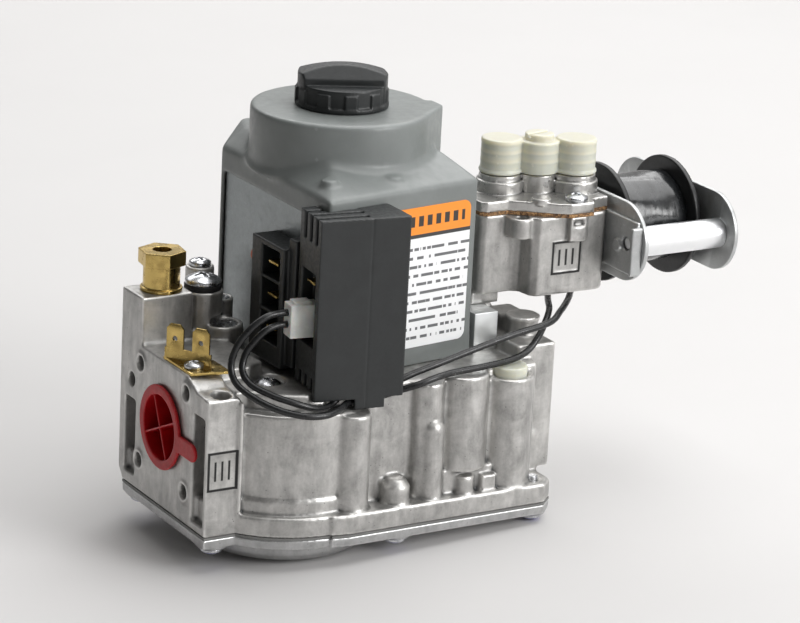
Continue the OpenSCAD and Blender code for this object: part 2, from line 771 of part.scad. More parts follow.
module regulator_top() {
    color("silver")
    place()
    difference() {
        union() {
            translate([0, 0, reg_gasket_z + 1.2]) linear_extrude(reg_top_z - reg_gasket_z - 1.2)
                regulator_lid_plan();
            screw_lugs(reg_gasket_z + 1.2, reg_top_z - reg_gasket_z - 1.2, 4.3);
            for (i = [-1 : 1])
                translate([lobe_xy(i)[0], lobe_xy(i)[1], reg_top_z - 1])
                    cylinder(r = i == 0 ? 6.2 : 7.3, h = 7.4, $fn = mid);
            for (i = [-1, 1])
                translate([lobe_xy(i)[0], lobe_xy(i)[1], reg_top_z - 1])
                    cylinder(r = 8.2, h = 5.2, $fn = mid);
            translate([131.5, 11, reg_top_z - 1]) cylinder(r = 3.4, h = 2.2, $fn = mid);
        }
        for (i = [-1, 1])
            translate([lobe_xy(i)[0], lobe_xy(i)[1], 90]) cylinder(r = 4.2, h = 30, $fn = mid);
        screw_lugs(90, 12, 1.7);
    }
}

module regulator_screws() {
    color("lightsteelblue")
    place()
    for (p = reg_screw_xy)
        translate([p[0], p[1], reg_top_z]) pan_screw(4, 2.6, 1.5, 12);
}

// Three-lobed press-on cap with an outer lip and a slotted button
module regulator_cap() {
    cap_z = 106.1;
    cap_h = 12;
    color("beige")
    place()
    difference() {
        union() {
            for (i = [-1 : 1])
                translate([lobe_xy(i)[0], lobe_xy(i)[1], cap_z])
                    cylinder(r = 7, h = cap_h - (i == 0 ? 0.8 : 0), $fn = mid);
            for (i = [-1, 1])
                translate([lobe_xy(i)[0], lobe_xy(i)[1], cap_z]) cylinder(r = 7.5, h = 1.2, $fn = mid);
            translate([reg_cap_axis[0], reg_cap_axis[1], cap_z + 3]) cylinder(r = 5, h = 10.6, $fn = mid);
        }
        for (i = [-1, 1])
            translate([lobe_xy(i)[0], lobe_xy(i)[1], cap_z - cut])
                cylinder(r = 4.7, h = cap_h - 1 + cut, $fn = mid);
        translate([reg_cap_axis[0], reg_cap_axis[1], cap_z - cut])
            cylinder(r = 5.3, h = cap_h - 2.4 + cut, $fn = mid);
        translate([reg_cap_axis[0], reg_cap_axis[1], cap_z + 13.2]) rotate([0, 0, 12])
            cube([12, 1.3, 1.8], center = true);
    }
}

module adjuster(i) {
    place()
    translate([lobe_xy(i)[0], lobe_xy(i)[1], 98])
    difference() {
        cylinder(r = 3.9, h = 6, $fn = mid);
        translate([0, 0, 6]) cube([9, 1.2, 2.4], center = true);
    }
}

module low_adjuster() {
    color("white") adjuster(-1);
}

module high_adjuster() {
    color("white") adjuster(1);
}

module regulator_springs() {
    color("silver")
    place()
    for (i = [-1, 1])
        translate([lobe_xy(i)[0], lobe_xy(i)[1], 79]) coil_spring(3.4, 3.4, 0.45, 18.7, 6);
}

module regulator_diaphragms() {
    color("dimgray")
    place()
    for (i = [-1, 1])
        translate([lobe_xy(i)[0], lobe_xy(i)[1], 77]) cylinder(r = 5.7, h = 1.4, $fn = mid);
}

module support_bracket() {
    bracket_h = reg_foot_z - deck_rear_z;
    color("lightgray")
    place()
    translate([107.5, 11, deck_rear_z]) {
        cube([9.3, 1, bracket_h]);
        cube([1, 5, bracket_h]);
        cube([9.3, 5, 1]);
        translate([0, 0, bracket_h - 1]) cube([9.3, 12.6, 1]);
    }
}

// ---- Step-opening solenoid ----

module coil_bobbin() {
    color("black")
    place()
    translate([bobbin_x, coil_y, coil_z])
    difference() {
        union() {
            rod_x(bobbin_r, 2, fine);
            translate([bobbin_l - 2, 0, 0]) rod_x(bobbin_r, 2, fine);
            translate([-3, 0, 0]) rod_x(7, yoke_gap);
        }
        translate([-4, 0, 0]) rod_x(5, yoke_gap + 2 * cut);
    }
}

module coil_winding() {
    color("black")
    place()
    translate([bobbin_x + 2, coil_y, coil_z])
    difference() {
        rod_x(16.5, bobbin_l - 4, fine);
        translate([-cut, 0, 0]) rod_x(7, bobbin_l);
    }
}

// Round-ended yoke plate, its rod holes rod_offset from the coil's axis
module yoke_plate(x, core_r) {
    place()
    translate([x, coil_y, coil_z])
    difference() {
        union() {
            for (s = [-1, 1]) translate([0, s * 23, 0]) rod_x(14, yoke_t, fine);
            translate([0, -23, -14]) cube([yoke_t, 46, 28]);
        }
        for (s = [-1, 1]) translate([-cut, s * rod_offset, 0]) rod_x(2.1, 4, coarse);
        if (core_r > 0) translate([-cut, 0, 0]) rod_x(core_r, 4);
    }
}

module yoke_left() {
    color("darkgray") yoke_plate(yoke_x, 5);
}

module yoke_right() {
    color("darkgray") yoke_plate(yoke_x + yoke_t + yoke_gap, 0);
}

module spacer_rods() {
    color("white")
    place()
    for (s = [-1, 1])
        translate([yoke_x + yoke_t, coil_y + s * rod_offset, coil_z]) {
            difference() {
                rod_x(5.2, yoke_gap);
                translate([yoke_gap - 8, 0, 0]) rod_x(1.9, 10, coarse);
            }
            translate([-yoke_t - 0.6, 0, 0]) rod_x(2, yoke_t + 1, coarse);
        }
}

module yoke_screws() {
    color("lightsteelblue")
    place()
    for (s = [-1, 1])
        translate([yoke_x + 2 * yoke_t + yoke_gap, coil_y + s * rod_offset, coil_z])
            rotate([0, 90, 0]) pan_screw(4.4, 2.4, 1.8, 8);
}

// Flat bracket with a forward lip, riveted between the tower and the yoke
module coil_bracket() {
    color("gray")
    place()
    difference() {
        union() {
            translate([reg_right_x, -10.5, 75]) cube([yoke_x - reg_right_x, 48, 19.5]);
            translate([reg_right_x - 2.6, -12.1, 76]) cube([yoke_x - reg_right_x + 2.6, 1.6, 17]);
            translate([reg_right_x - 0.8, 0.4, 84]) rod_x(2.2, 1.6, coarse);
        }
        translate([reg_right_x - 4, coil_y, coil_z]) rod_x(5, 10);
        translate([reg_right_x - 4, coil_y - rod_offset, coil_z]) rod_x(2.4, 10, coarse);
    }
}

module step_plunger() {
    color("gray")
    place()
    translate([reg_right_x - 2.2, coil_y, coil_z]) {
        rod_x(2, 4, coarse);
        translate([3.2, 0, 0]) rod_x(plunger_r, 28);
    }
}

module step_spring() {
    color("silver")
    place()
    translate([reg_right_x + 29, coil_y, coil_z]) rotate([0, 90, 0]) coil_spring(3.6, 3.6, 0.4, 7, 3);
}

// ---- Connector module ----

module module_place() {
    place()
    translate(module_corner) rotate([0, 0, module_turn]) children();
}

// Plan of the module: its back follows the cover's front and left sides
module module_plan() {
    polygon([[34.5, -8.4], [65.9, -12.8], [66.2, 3.9], [42.2, 0.6], [42.2, 9.3], [36.6, 9.3]]);
}

// The part of the plan that stands in front of the casting's deck
module module_front_plan() {
    polygon([[34.5, -8.4], [65.9, -12.8], [66, -5.9], [34.8, -5.9]]);
}

module vent_slots(x, length, z, height) {
    for (y = [2.6, 7.4, 12.2])
        translate([x, y, z]) cube([length, 1.9, height]);
}

module connector_module() {
    color("darkslategray")
    difference() {
        union() {
            place() {
                translate([0, 0, module_rear_z])
                    linear_extrude(module_corner[2] + module_h - module_rear_z) module_plan();
                translate([0, 0, module_corner[2]]) linear_extrude(4) module_front_plan();
            }
            module_place() translate([14.5, 0, -3.6]) cube([10.5, 1.4, 4]);
        }
        module_place() {
            vent_slots(-cut, 2.5, module_h - 9, 10);
            vent_slots(-cut, 19, module_h - 1.4, 3);
            vent_slots(-cut, 2.5, -1, 8.5);
            translate([-cut, 3.2, 17.5]) cube([4.2 + cut, 11.6, 25]);
            translate([18, -cut, -5]) cube([0.4, 0.7 + cut, 90]);
            // Channel for the wires, open below and to the right
            translate([4, 1.4, -4.5]) cube([29, 8, 10]);
        }
    }
}

// Receptacle behind the module: three sockets that open to the inlet side
module terminal_block() {
    color("darkslategray")
    place()
    difference() {
        union() {
            translate([34, 14.8, 49.6]) cube([9.9, 22.2, 41.4]);
            translate([36, 10.2, 51]) cube([7.9, 5, 44]);
        }
        for (i = [0 : 2])
            translate([33, 17.4, 79 - i * 11.2]) cube([8, 12.4, 10.2]);
    }
}

// Brass blades, one in each socket and one in the module's window
module spade_terminals() {
    color("goldenrod")
    place()
    for (i = [0 : 2])
        translate([35, 20.4, 83.7 - i * 11.2]) cube([6, 6.35, 0.8]);
    color("goldenrod")
    module_place() translate([0.6, 5.8, 38.4]) cube([3.6, 6.35, 0.8]);
}

module indicator_button() {
    color("orangered")
    place()
    translate([37.5, 37, 83]) rotate([-90, 0, 0]) cylinder(r = 3, h = 1.8, $fn = coarse);
}

module wire_plug() {
    color("white")
    module_place()
    difference() {
        union() {
            translate([-6.5, 7.2, 20.2]) cube([10.3, 6.6, 11.2]);
            translate([-5, 8, 31]) cube([6, 5, 1.4]);
        }
        for (z = [24.3, 28.3])
            translate([-7.5, 10.5, z]) rod_x(wire_r, 3, 8);
    }
}

module wire_outer() {
    color("black")
    place() tube(smooth_path(wire_outer_points, wire_steps), wire_r, 8);
}

module wire_inner() {
    color("black")
    place() tube(smooth_path(wire_inner_points, wire_steps), wire_r, 8);
}

// ---- Fittings on the inlet end ----

module pilot_fitting() {
    color("goldenrod")
    place()
    translate([pilot_axis[0], pilot_axis[1], 0])
    difference() {
        union() {
            translate([0, 0, 58]) cylinder(r = 5, h = 12, $fn = mid);
            translate([0, 0, block_z]) cylinder(r = 7.2, h = 1.2, $fn = mid);
            translate([0, 0, block_z + 1]) cylinder(r = 6.3, h = 9, $fn = mid);
            rotate([0, 0, 22]) translate([0, 0, 77.3]) cylinder(r = 8.25, h = 5, $fn = 6);
        }
        translate([0, 0, 57]) cylinder(r = 3.2, h = 30, $fn = mid);
    }
}

module pilot_screw() {
    color("lightsteelblue")
    place()
    translate([pilot_screw_axis[0], pilot_screw_axis[1], 69]) pan_screw(6.2, 3.4, 3, 12);
}

module pilot_seal() {
    color("black")
    place()
    translate([pilot_screw_axis[0], pilot_screw_axis[1], 67]) ring(6.4, 3.1, 2);
}

// Brass plate with two quarter-inch tabs standing on the step
module ground_terminal() {
    color("goldenrod")
    place()
    translate([4.8, 20, step_z])
    difference() {
        union() {
            linear_extrude(0.8) polygon([[-4, -6], [9.5, -8.5], [9.5, 4], [0, 14.5], [-4, 14.5]]);
            rotate([0, 0, -56]) translate([-13.2, 3.6, 0]) cube([17.4, 0.8, 4.6]);
            for (x = [-12.6, -2.9])
                rotate([0, 0, -56]) translate([x, 4.4, 0]) rotate([90, 0, 0])
                    linear_extrude(0.8)
                        polygon([[0, 0], [6.35, 0], [6.35, 11.4], [5, 13], [1.35, 13], [0, 11.4]]);
        }
        translate([0, 0, -cut]) cylinder(r = 1.8, h = 4, $fn = coarse);
        for (x = [-12.6, -2.9])
            rotate([0, 0, -56]) translate([x + 3.175, 3, 8]) rotate([-90, 0, 0])
                cylinder(r = 0.9, h = 3, $fn = coarse);
    }
}

module ground_screw() {
    color("lightsteelblue")
    place()
    translate([4.8, 20, step_z + 0.8]) pan_screw(3.3, 2.2, 1.6, 7);
}

module deck_screws() {
    color("lightsteelblue")
    place() {
        translate([deck_screw[0], deck_screw[1], 71]) pan_screw(3.8, 2.6, 1.6, 7);
        translate([chamber_screw[0], chamber_screw[1], deck_z - 1.6]) pan_screw(4.4, 2, 1.6, 7);
    }
}

module casting_plugs() {
    color("dimgray")
    place() {
        translate([boss_low[0], boss_low[1], 54.4]) slotted_plug(5.2, 1.2);
        translate([boss_small[0], boss_small[1], 60.6]) slotted_plug(3.2, 1);
    }
}

module column_plug() {
    color("khaki")
    place()
    translate([111, -7, 38]) cylinder(r = 6.1, h = 10.8, $fn = mid);
}

main_casting();
main_diaphragm();
bottom_cover();
bottom_screws();
main_valve();
main_spring();
inlet_screen();
inlet_cap();
top_cover();
side_panel();
rating_label();
control_knob();
knob_barrel();
shutoff_valve();
first_bobbin();
first_winding();
first_frame();
first_plunger();
first_spring();
servo_bobbin();
servo_winding();
servo_frame();
servo_plunger();
servo_spring();
regulator_body();
regulator_gasket();
regulator_top();
regulator_screws();
regulator_cap();
low_adjuster();
high_adjuster();
regulator_springs();
regulator_diaphragms();
coil_bobbin();
coil_winding();
yoke_left();
yoke_right();
spacer_rods();
yoke_screws();
coil_bracket();
step_plunger();
step_spring();
connector_module();
terminal_block();
spade_terminals();
indicator_button();
wire_plug();
wire_outer();
wire_inner();
support_bracket();
pilot_fitting();
pilot_screw();
pilot_seal();
ground_terminal();
ground_screw();
deck_screws();
casting_plugs();
column_plug();
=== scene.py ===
"""Looks of the combination gas valve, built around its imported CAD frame.

Datum used below: x from the inlet face, y from the inlet end's front wall, z from the
bottom cover's joint plane, all in millimetres. at() moves that to the row frame in metres.
"""

import json
import math

import bmesh
import bpy
import numpy as np
from mathutils import Matrix, Vector

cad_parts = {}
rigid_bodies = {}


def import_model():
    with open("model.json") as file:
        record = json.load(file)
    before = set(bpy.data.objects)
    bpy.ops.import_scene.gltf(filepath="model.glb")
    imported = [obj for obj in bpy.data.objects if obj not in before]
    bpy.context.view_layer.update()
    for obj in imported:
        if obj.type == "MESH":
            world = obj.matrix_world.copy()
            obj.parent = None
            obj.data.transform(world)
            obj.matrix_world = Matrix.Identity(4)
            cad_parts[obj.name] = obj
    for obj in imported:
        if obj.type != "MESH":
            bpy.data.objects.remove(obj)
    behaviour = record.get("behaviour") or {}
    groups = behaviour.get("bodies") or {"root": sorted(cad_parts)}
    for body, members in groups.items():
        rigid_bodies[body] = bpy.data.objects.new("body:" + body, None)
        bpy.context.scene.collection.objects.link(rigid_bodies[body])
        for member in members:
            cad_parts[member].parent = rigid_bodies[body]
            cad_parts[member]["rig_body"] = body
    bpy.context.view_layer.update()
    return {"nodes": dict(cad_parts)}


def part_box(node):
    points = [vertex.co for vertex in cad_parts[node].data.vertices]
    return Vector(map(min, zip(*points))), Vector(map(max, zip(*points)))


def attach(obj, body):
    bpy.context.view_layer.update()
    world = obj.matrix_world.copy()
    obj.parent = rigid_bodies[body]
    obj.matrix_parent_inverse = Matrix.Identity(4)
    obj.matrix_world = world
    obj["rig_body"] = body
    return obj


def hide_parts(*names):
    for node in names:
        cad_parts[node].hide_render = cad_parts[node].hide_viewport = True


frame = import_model()
NODES = frame["nodes"]
SCENE = bpy.context.scene
MM = 0.001
PORT_Y, PORT_Z = 32, 28.5  # the axis of both ports, which is the row frame's origin


def at(x, y, z):
    return Vector((x * MM, (y - PORT_Y) * MM, (z - PORT_Z) * MM))


# ---------------------------------------------------------------- camera
CAMERA_TURN = (-31.4, 17.5, 3.0)  # azimuth, elevation and roll in degrees
CAMERA_PLACE = (-0.47391, -0.92422, 0.37114)
CAMERA_LENS = 148.5


def add_camera():
    """The view as it was fitted to the photo."""
    azimuth, elevation, roll = [math.radians(v) for v in CAMERA_TURN]
    back = Vector((
        math.sin(azimuth) * math.cos(elevation),
        -math.cos(azimuth) * math.cos(elevation),
        math.sin(elevation),
    ))
    right = Vector((math.cos(azimuth), math.sin(azimuth), 0))
    up = back.cross(right)
    side = math.cos(roll) * right + math.sin(roll) * up
    top = -math.sin(roll) * right + math.cos(roll) * up
    data = bpy.data.cameras.new("camera")
    data.lens = CAMERA_LENS
    data.sensor_width = 36
    data.clip_start = 0.05
    data.clip_end = 20
    camera = bpy.data.objects.new("camera", data)
    SCENE.collection.objects.link(camera)
    matrix = Matrix((side, top, back)).transposed().to_4x4()
    matrix.translation = Vector(CAMERA_PLACE)
    camera.matrix_world = matrix
    SCENE.camera = camera


add_camera()


# ---------------------------------------------------------------- material kit
MARKS_Y = -25.5  # the row's y behind which a casting has no foundry marks


class Shader:
    """A principled material and short calls to wire noise, ramps and bump into it."""

    def __init__(self, name, color, metallic=0.0, roughness=0.5, **sockets):
        self.material = bpy.data.materials.new(name)
        self.material.use_nodes = True
        self.tree = self.material.node_tree
        self.main = self.tree.nodes["Principled BSDF"]
        self.main.inputs["Base Color"].default_value = (*color, 1)
        self.main.inputs["Metallic"].default_value = metallic
        self.main.inputs["Roughness"].default_value = roughness
        for key, value in sockets.items():
            self.main.inputs[key.replace("_", " ")].default_value = value
        coords = self.node("ShaderNodeTexCoord")
        scale = self.node("ShaderNodeVectorMath", operation="SCALE")
        scale.inputs["Scale"].default_value = 1000
        self.link(coords.outputs["Object"], scale.inputs[0])
        self.mm = scale.outputs[0]
        self.normal = None

    def node(self, kind, **values):
        node = self.tree.nodes.new(kind)
        for key, value in values.items():
            setattr(node, key, value)
        return node

    def link(self, output, target):
        self.tree.links.new(output, target)

    def feed(self, value, target):
        if isinstance(value, bpy.types.NodeSocket):
            self.link(value, target)
        elif isinstance(value, (tuple, list)):
            lacks_alpha = len(value) == 3 and len(target.default_value) == 4
            target.default_value = (*value, 1) if lacks_alpha else value
        else:
            target.default_value = value

    def stretched(self, sx, sy, sz):
        node = self.node("ShaderNodeMapping")
        node.inputs["Scale"].default_value = (sx, sy, sz)
        self.link(self.mm, node.inputs["Vector"])
        return node.outputs[0]

    def noise(self, size, detail=3.0, rough=0.55, vector=None, distortion=0.0):
        """Noise whose blobs are about size millimetres across."""
        node = self.node("ShaderNodeTexNoise")
        node.inputs["Scale"].default_value = 1.0 / size
        node.inputs["Detail"].default_value = detail
        node.inputs["Roughness"].default_value = rough
        node.inputs["Distortion"].default_value = distortion
        self.link(vector or self.mm, node.inputs["Vector"])
        return node.outputs["Fac"]

    def cells(self, size, output="Distance"):
        node = self.node("ShaderNodeTexVoronoi")
        node.inputs["Scale"].default_value = 1.0 / size
        self.link(self.mm, node.inputs["Vector"])
        return node.outputs[output]

    def span(self, value, low, high, to_low=0.0, to_high=1.0):
        node = self.node("ShaderNodeMapRange")
        node.clamp = True
        self.feed(value, node.inputs["Value"])
        for key, number in (("From Min", low), ("From Max", high), ("To Min", to_low), ("To Max", to_high)):
            node.inputs[key].default_value = number
        return node.outputs["Result"]

    def math(self, operation, a, b=0.0):
        node = self.node("ShaderNodeMath", operation=operation)
        self.feed(a, node.inputs[0])
        self.feed(b, node.inputs[1])
        return node.outputs[0]

    def axis(self, name, vector=None):
        node = self.node("ShaderNodeSeparateXYZ")
        self.link(vector or self.mm, node.inputs[0])
        return node.outputs[name]

    def mix(self, fac, a, b):
        node = self.node("ShaderNodeMix", data_type="RGBA")
        self.feed(fac, node.inputs[0])
        self.feed(a, node.inputs[6])
        self.feed(b, node.inputs[7])
        return node.outputs[2]

    # Mask of sharp outer edges; the lighter colour mixed in with it is part wear, part painted edge
    # highlight
    def edges(self, low=0.51, high=0.56):
        node = self.node("ShaderNodeNewGeometry")
        return self.span(node.outputs["Pointiness"], low, high)

    # Mask of recesses; the darker colour mixed in with it is painted shade
    def painted_hollow_shade(self, low=0.49, high=0.45):
        node = self.node("ShaderNodeNewGeometry")
        return self.span(node.outputs["Pointiness"], low, high)

    def outline(self, low, high, width):
        """One on the outline of an upright box in the row's x and z, and on three bars inside.

        The front walls alone carry it, so it stops behind them.
        """
        x, z = self.axis("X"), self.axis("Z")
        middle = [(a + b) / 2 for a, b in zip(low, high)]
        half = [(b - a) / 2 for a, b in zip(low, high)]
        dx = self.math("ABSOLUTE", self.math("SUBTRACT", x, middle[0]))
        dz = self.math("ABSOLUTE", self.math("SUBTRACT", z, middle[1]))
        rim = self.math("MAXIMUM", self.math("SUBTRACT", dx, half[0]), self.math("SUBTRACT", dz, half[1]))
        line = self.span(self.math("ABSOLUTE", rim), width, width * 0.6)
        wave = self.math("PINGPONG", self.math("SUBTRACT", x, middle[0]), half[0] * 0.25)
        bars = self.span(wave, half[0] * 0.10, half[0] * 0.06)
        inside = self.math("MULTIPLY", self.span(dz, half[1] * 0.56, half[1] * 0.5),
                           self.span(dx, half[0] * 0.66, half[0] * 0.6))
        both = self.math("MAXIMUM", line, self.math("MULTIPLY", bars, inside))
        return self.math("MULTIPLY", both, self.span(self.axis("Y"), MARKS_Y + 0.1, MARKS_Y - 0.1))

    def bump(self, height, strength=0.3, distance=0.1):
        node = self.node("ShaderNodeBump")
        node.inputs["Strength"].default_value = strength
        node.inputs["Distance"].default_value = distance * MM
        self.link(height, node.inputs["Height"])
        if self.normal is not None:
            self.link(self.normal, node.inputs["Normal"])
        self.normal = node.outputs[0]

    def done(self, color=None, roughness=None):
        if color is not None:
            self.feed(color, self.main.inputs["Base Color"])
        if roughness is not None:
            self.feed(roughness, self.main.inputs["Roughness"])
        if self.normal is not None:
            self.link(self.normal, self.main.inputs["Normal"])
        return self.material


def grey(value, tint=(1.0, 1.0, 1.0)):
    return tuple(value * t for t in tint)


def cast_metal(name, dark, light, edge, metallic=0.75, rough=(0.34, 0.58), grain=1.0, marks=()):
    """Die cast alloy: cloudy flow marks, fine pitting, bright edges that are part wear and part painted
    highlight, painted shade in the recesses.
    """
    s = Shader(name, light, metallic, 0.45)
    clouds = s.noise(9.0, 5, 0.62, distortion=0.6)
    streaks = s.noise(3.0, 4, 0.6, vector=s.stretched(1.0, 1.0, 0.28))
    mottle = s.noise(0.9, 3, 0.6)
    blend = s.math("ADD", s.math("MULTIPLY", clouds, 0.5), s.math("MULTIPLY", streaks, 0.35))
    blend = s.math("ADD", blend, s.math("MULTIPLY", mottle, 0.15))
    color = s.mix(s.span(blend, 0.38, 0.64), dark, light)
    pits = s.span(s.cells(1.7), 0.06, 0.16, 0.75, 0.0)
    pits = s.math("MULTIPLY", pits, s.span(s.noise(6.0, 2), 0.5, 0.62))
    color = s.mix(pits, color, grey(0.10))
    # painted shade: recesses darkened
    color = s.mix(s.painted_hollow_shade(0.488, 0.45), color, grey(0.07, (0.97, 1.0, 1.02)))
    # edges lightened to the edge colour: part wear, part painted highlight
    color = s.mix(s.edges(), color, edge)
    for low, high in marks:
        color = s.mix(s.outline(low, high, 0.55), color, grey(0.035))
    roughness = s.span(s.math("ADD", mottle, s.math("MULTIPLY", clouds, 0.8)), 0.7, 1.15, *rough)
    s.bump(clouds, 0.10 * grain, 1.2)
    s.bump(mottle, 0.22 * grain, 0.14)
    s.bump(s.noise(0.28, 2), 0.16 * grain, 0.05)
    return s.done(color, roughness)


def sheet_metal(name, color, spangle=0.18, metallic=0.85, rough=(0.3, 0.5), size=1.6):
    """Zinc coated sheet: faint crystal spangle, pale specks and rolling streaks."""
    s = Shader(name, color, metallic, 0.4)
    crystal = s.axis("X", s.cells(size, output="Color"))
    specks = s.span(s.noise(0.7, 2, 0.7), 0.6, 0.78)
    streak = s.noise(2.4, 4, 0.6, vector=s.stretched(0.3, 1.0, 1.0))
    low = grey(1 - spangle, color)
    base = s.mix(crystal, low, grey(1 + spangle * 0.6, color))
    base = s.mix(s.math("MULTIPLY", specks, 0.5), base, grey(1.7, color))
    base = s.mix(s.math("MULTIPLY", s.span(streak, 0.45, 0.7), 0.35), base, grey(0.72, color))
    # edges lighter: part wear, part painted highlight
    base = s.mix(s.edges(0.52, 0.6), base, grey(1.6, color))
    s.bump(s.noise(0.35, 2), 0.12, 0.05)
    s.bump(streak, 0.08, 0.3)
    return s.done(base, s.span(s.math("ADD", crystal, s.noise(1.2, 2)), 0.4, 1.5, *rough))


def painted(name, color, rough=0.42):
    """Stoved enamel: slight orange peel, dust specks, lighter on the edges, where the coat is thinner and
    where a highlight is painted.
    """
    s = Shader(name, color, 0.0, rough, Coat_Weight=0.18, Coat_Roughness=0.28)
    cloud = s.noise(14.0, 3)
    base = s.mix(s.span(cloud, 0.35, 0.65), grey(0.93, color), grey(1.06, color))
    dust = s.span(s.noise(0.8, 2, 0.8), 0.68, 0.8)
    base = s.mix(s.math("MULTIPLY", dust, 0.35), base, grey(1.5, color))
    # edges lighter: thinner enamel and a painted highlight
    base = s.mix(s.math("MULTIPLY", s.edges(0.515, 0.56), 0.55), base, grey(1.45, color))
    s.bump(s.noise(1.1, 2, 0.4), 0.16, 0.16)
    s.bump(s.noise(0.25, 2), 0.10, 0.04)
    return s.done(base, s.span(s.noise(3.0, 3), 0.3, 0.7, rough - 0.07, rough + 0.1))


def moulded(name, color, rough=0.5, edge=1.9, grain=0.35, **sockets):
    """Injection moulded plastic: fine spark-eroded grain, scuffs, lighter corners that are part scuffing
    and part painted highlight, slight sheen.
    """
    s = Shader(name, color, 0.0, rough, **sockets)
    cloud = s.noise(7.0, 4)
    scuff = s.span(s.noise(2.2, 5, 0.7), 0.56, 0.72)
    base = s.mix(s.span(cloud, 0.35, 0.65), grey(0.86, color), grey(1.12, color))
    base = s.mix(s.math("MULTIPLY", scuff, 0.3), base, grey(1.5, color))
    # edge: how much lighter the corners are; part scuffing, part painted highlight
    base = s.mix(s.math("MULTIPLY", s.edges(0.52, 0.58), 0.6), base, grey(edge, color))
    s.bump(s.noise(0.35, 3, 0.6), grain, 0.06)
    s.bump(cloud, 0.06, 0.5)
    return s.done(base, s.span(s.noise(1.2, 3), 0.3, 0.7, rough - 0.08, rough + 0.1))


def machined(name, color, rough=(0.18, 0.36), stretch=(1.0, 1.0, 8.0), tarnish=None, groove=0.16):
    """Turned metal: fine tool marks round the part and patches of tarnish."""
    s = Shader(name, color, 1.0, 0.25)
    marks = s.noise(1.6, 3, 0.6, vector=s.stretched(*stretch))
    patch = s.span(s.noise(5.0, 4, 0.6), 0.42, 0.7)
    base = s.mix(s.math("MULTIPLY", patch, 0.55), color, tarnish or grey(0.55, color))
    # painted shade: recesses darkened
    base = s.mix(s.math("MULTIPLY", s.painted_hollow_shade(0.49, 0.44), 0.7), base, grey(0.25, color))
    # edges brightened: part wear, part painted highlight
    bright = tuple(min(1.0, c * 1.35) for c in color)
    base = s.mix(s.math("MULTIPLY", s.edges(0.52, 0.6), 0.6), base, bright)
    s.bump(marks, groove, 0.06)
    return s.done(base, s.span(s.math("ADD", marks, patch), 0.5, 1.5, *rough))


def cork_material():
    s = Shader("cork", (0.30, 0.16, 0.07), 0.0, 0.85)
    grain = s.axis("X", s.cells(0.75, output="Color"))
    base = s.mix(grain, (0.10, 0.045, 0.02), (0.50, 0.29, 0.13))
    base = s.mix(s.span(s.noise(0.5, 3), 0.52, 0.66), base, (0.05, 0.03, 0.02))
    s.bump(s.cells(0.75), 0.7, 0.25)
    return s.done(base, s.span(grain, 0, 1, 0.7, 0.95))


def nylon_material():
    """Natural nylon: translucent cream with faint horizontal moulding bands."""
    s = Shader("cream_nylon", (0.74, 0.71, 0.55), 0.0, 0.34,
               Subsurface_Weight=0.55, Subsurface_Scale=0.004, IOR=1.52)
    s.main.inputs["Subsurface Radius"].default_value = (1.0, 0.9, 0.62)
    height = s.axis("Z")
    bands = s.noise(2.1, 1, 0.4, vector=s.stretched(0.02, 0.02, 1.0))
    base = s.mix(s.span(bands, 0.42, 0.58), (0.60, 0.61, 0.53), (0.68, 0.66, 0.54))
    base = s.mix(s.span(height, 88.2, 90.6), base, (0.66, 0.64, 0.53))
    # edges lighter: part wear, part painted highlight
    base = s.mix(s.math("MULTIPLY", s.edges(0.52, 0.58), 0.5), base, (0.80, 0.78, 0.66))
    s.bump(bands, 0.12, 0.4)
    s.bump(s.noise(0.6, 2), 0.08, 0.05)
    return s.done(base, s.span(s.noise(2.0, 3), 0.3, 0.7, 0.28, 0.42))


COVER_FRONT = (62.5, 8.5)  # x and y along the operator cover's slanting front
TITLE_ENDS = (58.0, 95.5)  # where the label's title starts and stops along that front
TITLE_LOW, TITLE_HIGH = 68.2, 72.0
TEXT_LOW, TEXT_HIGH = 27.6, 62.4
TEXT_ROW = 3.1
RULE_LOW, BAND_LOW = 64.2, 65.5


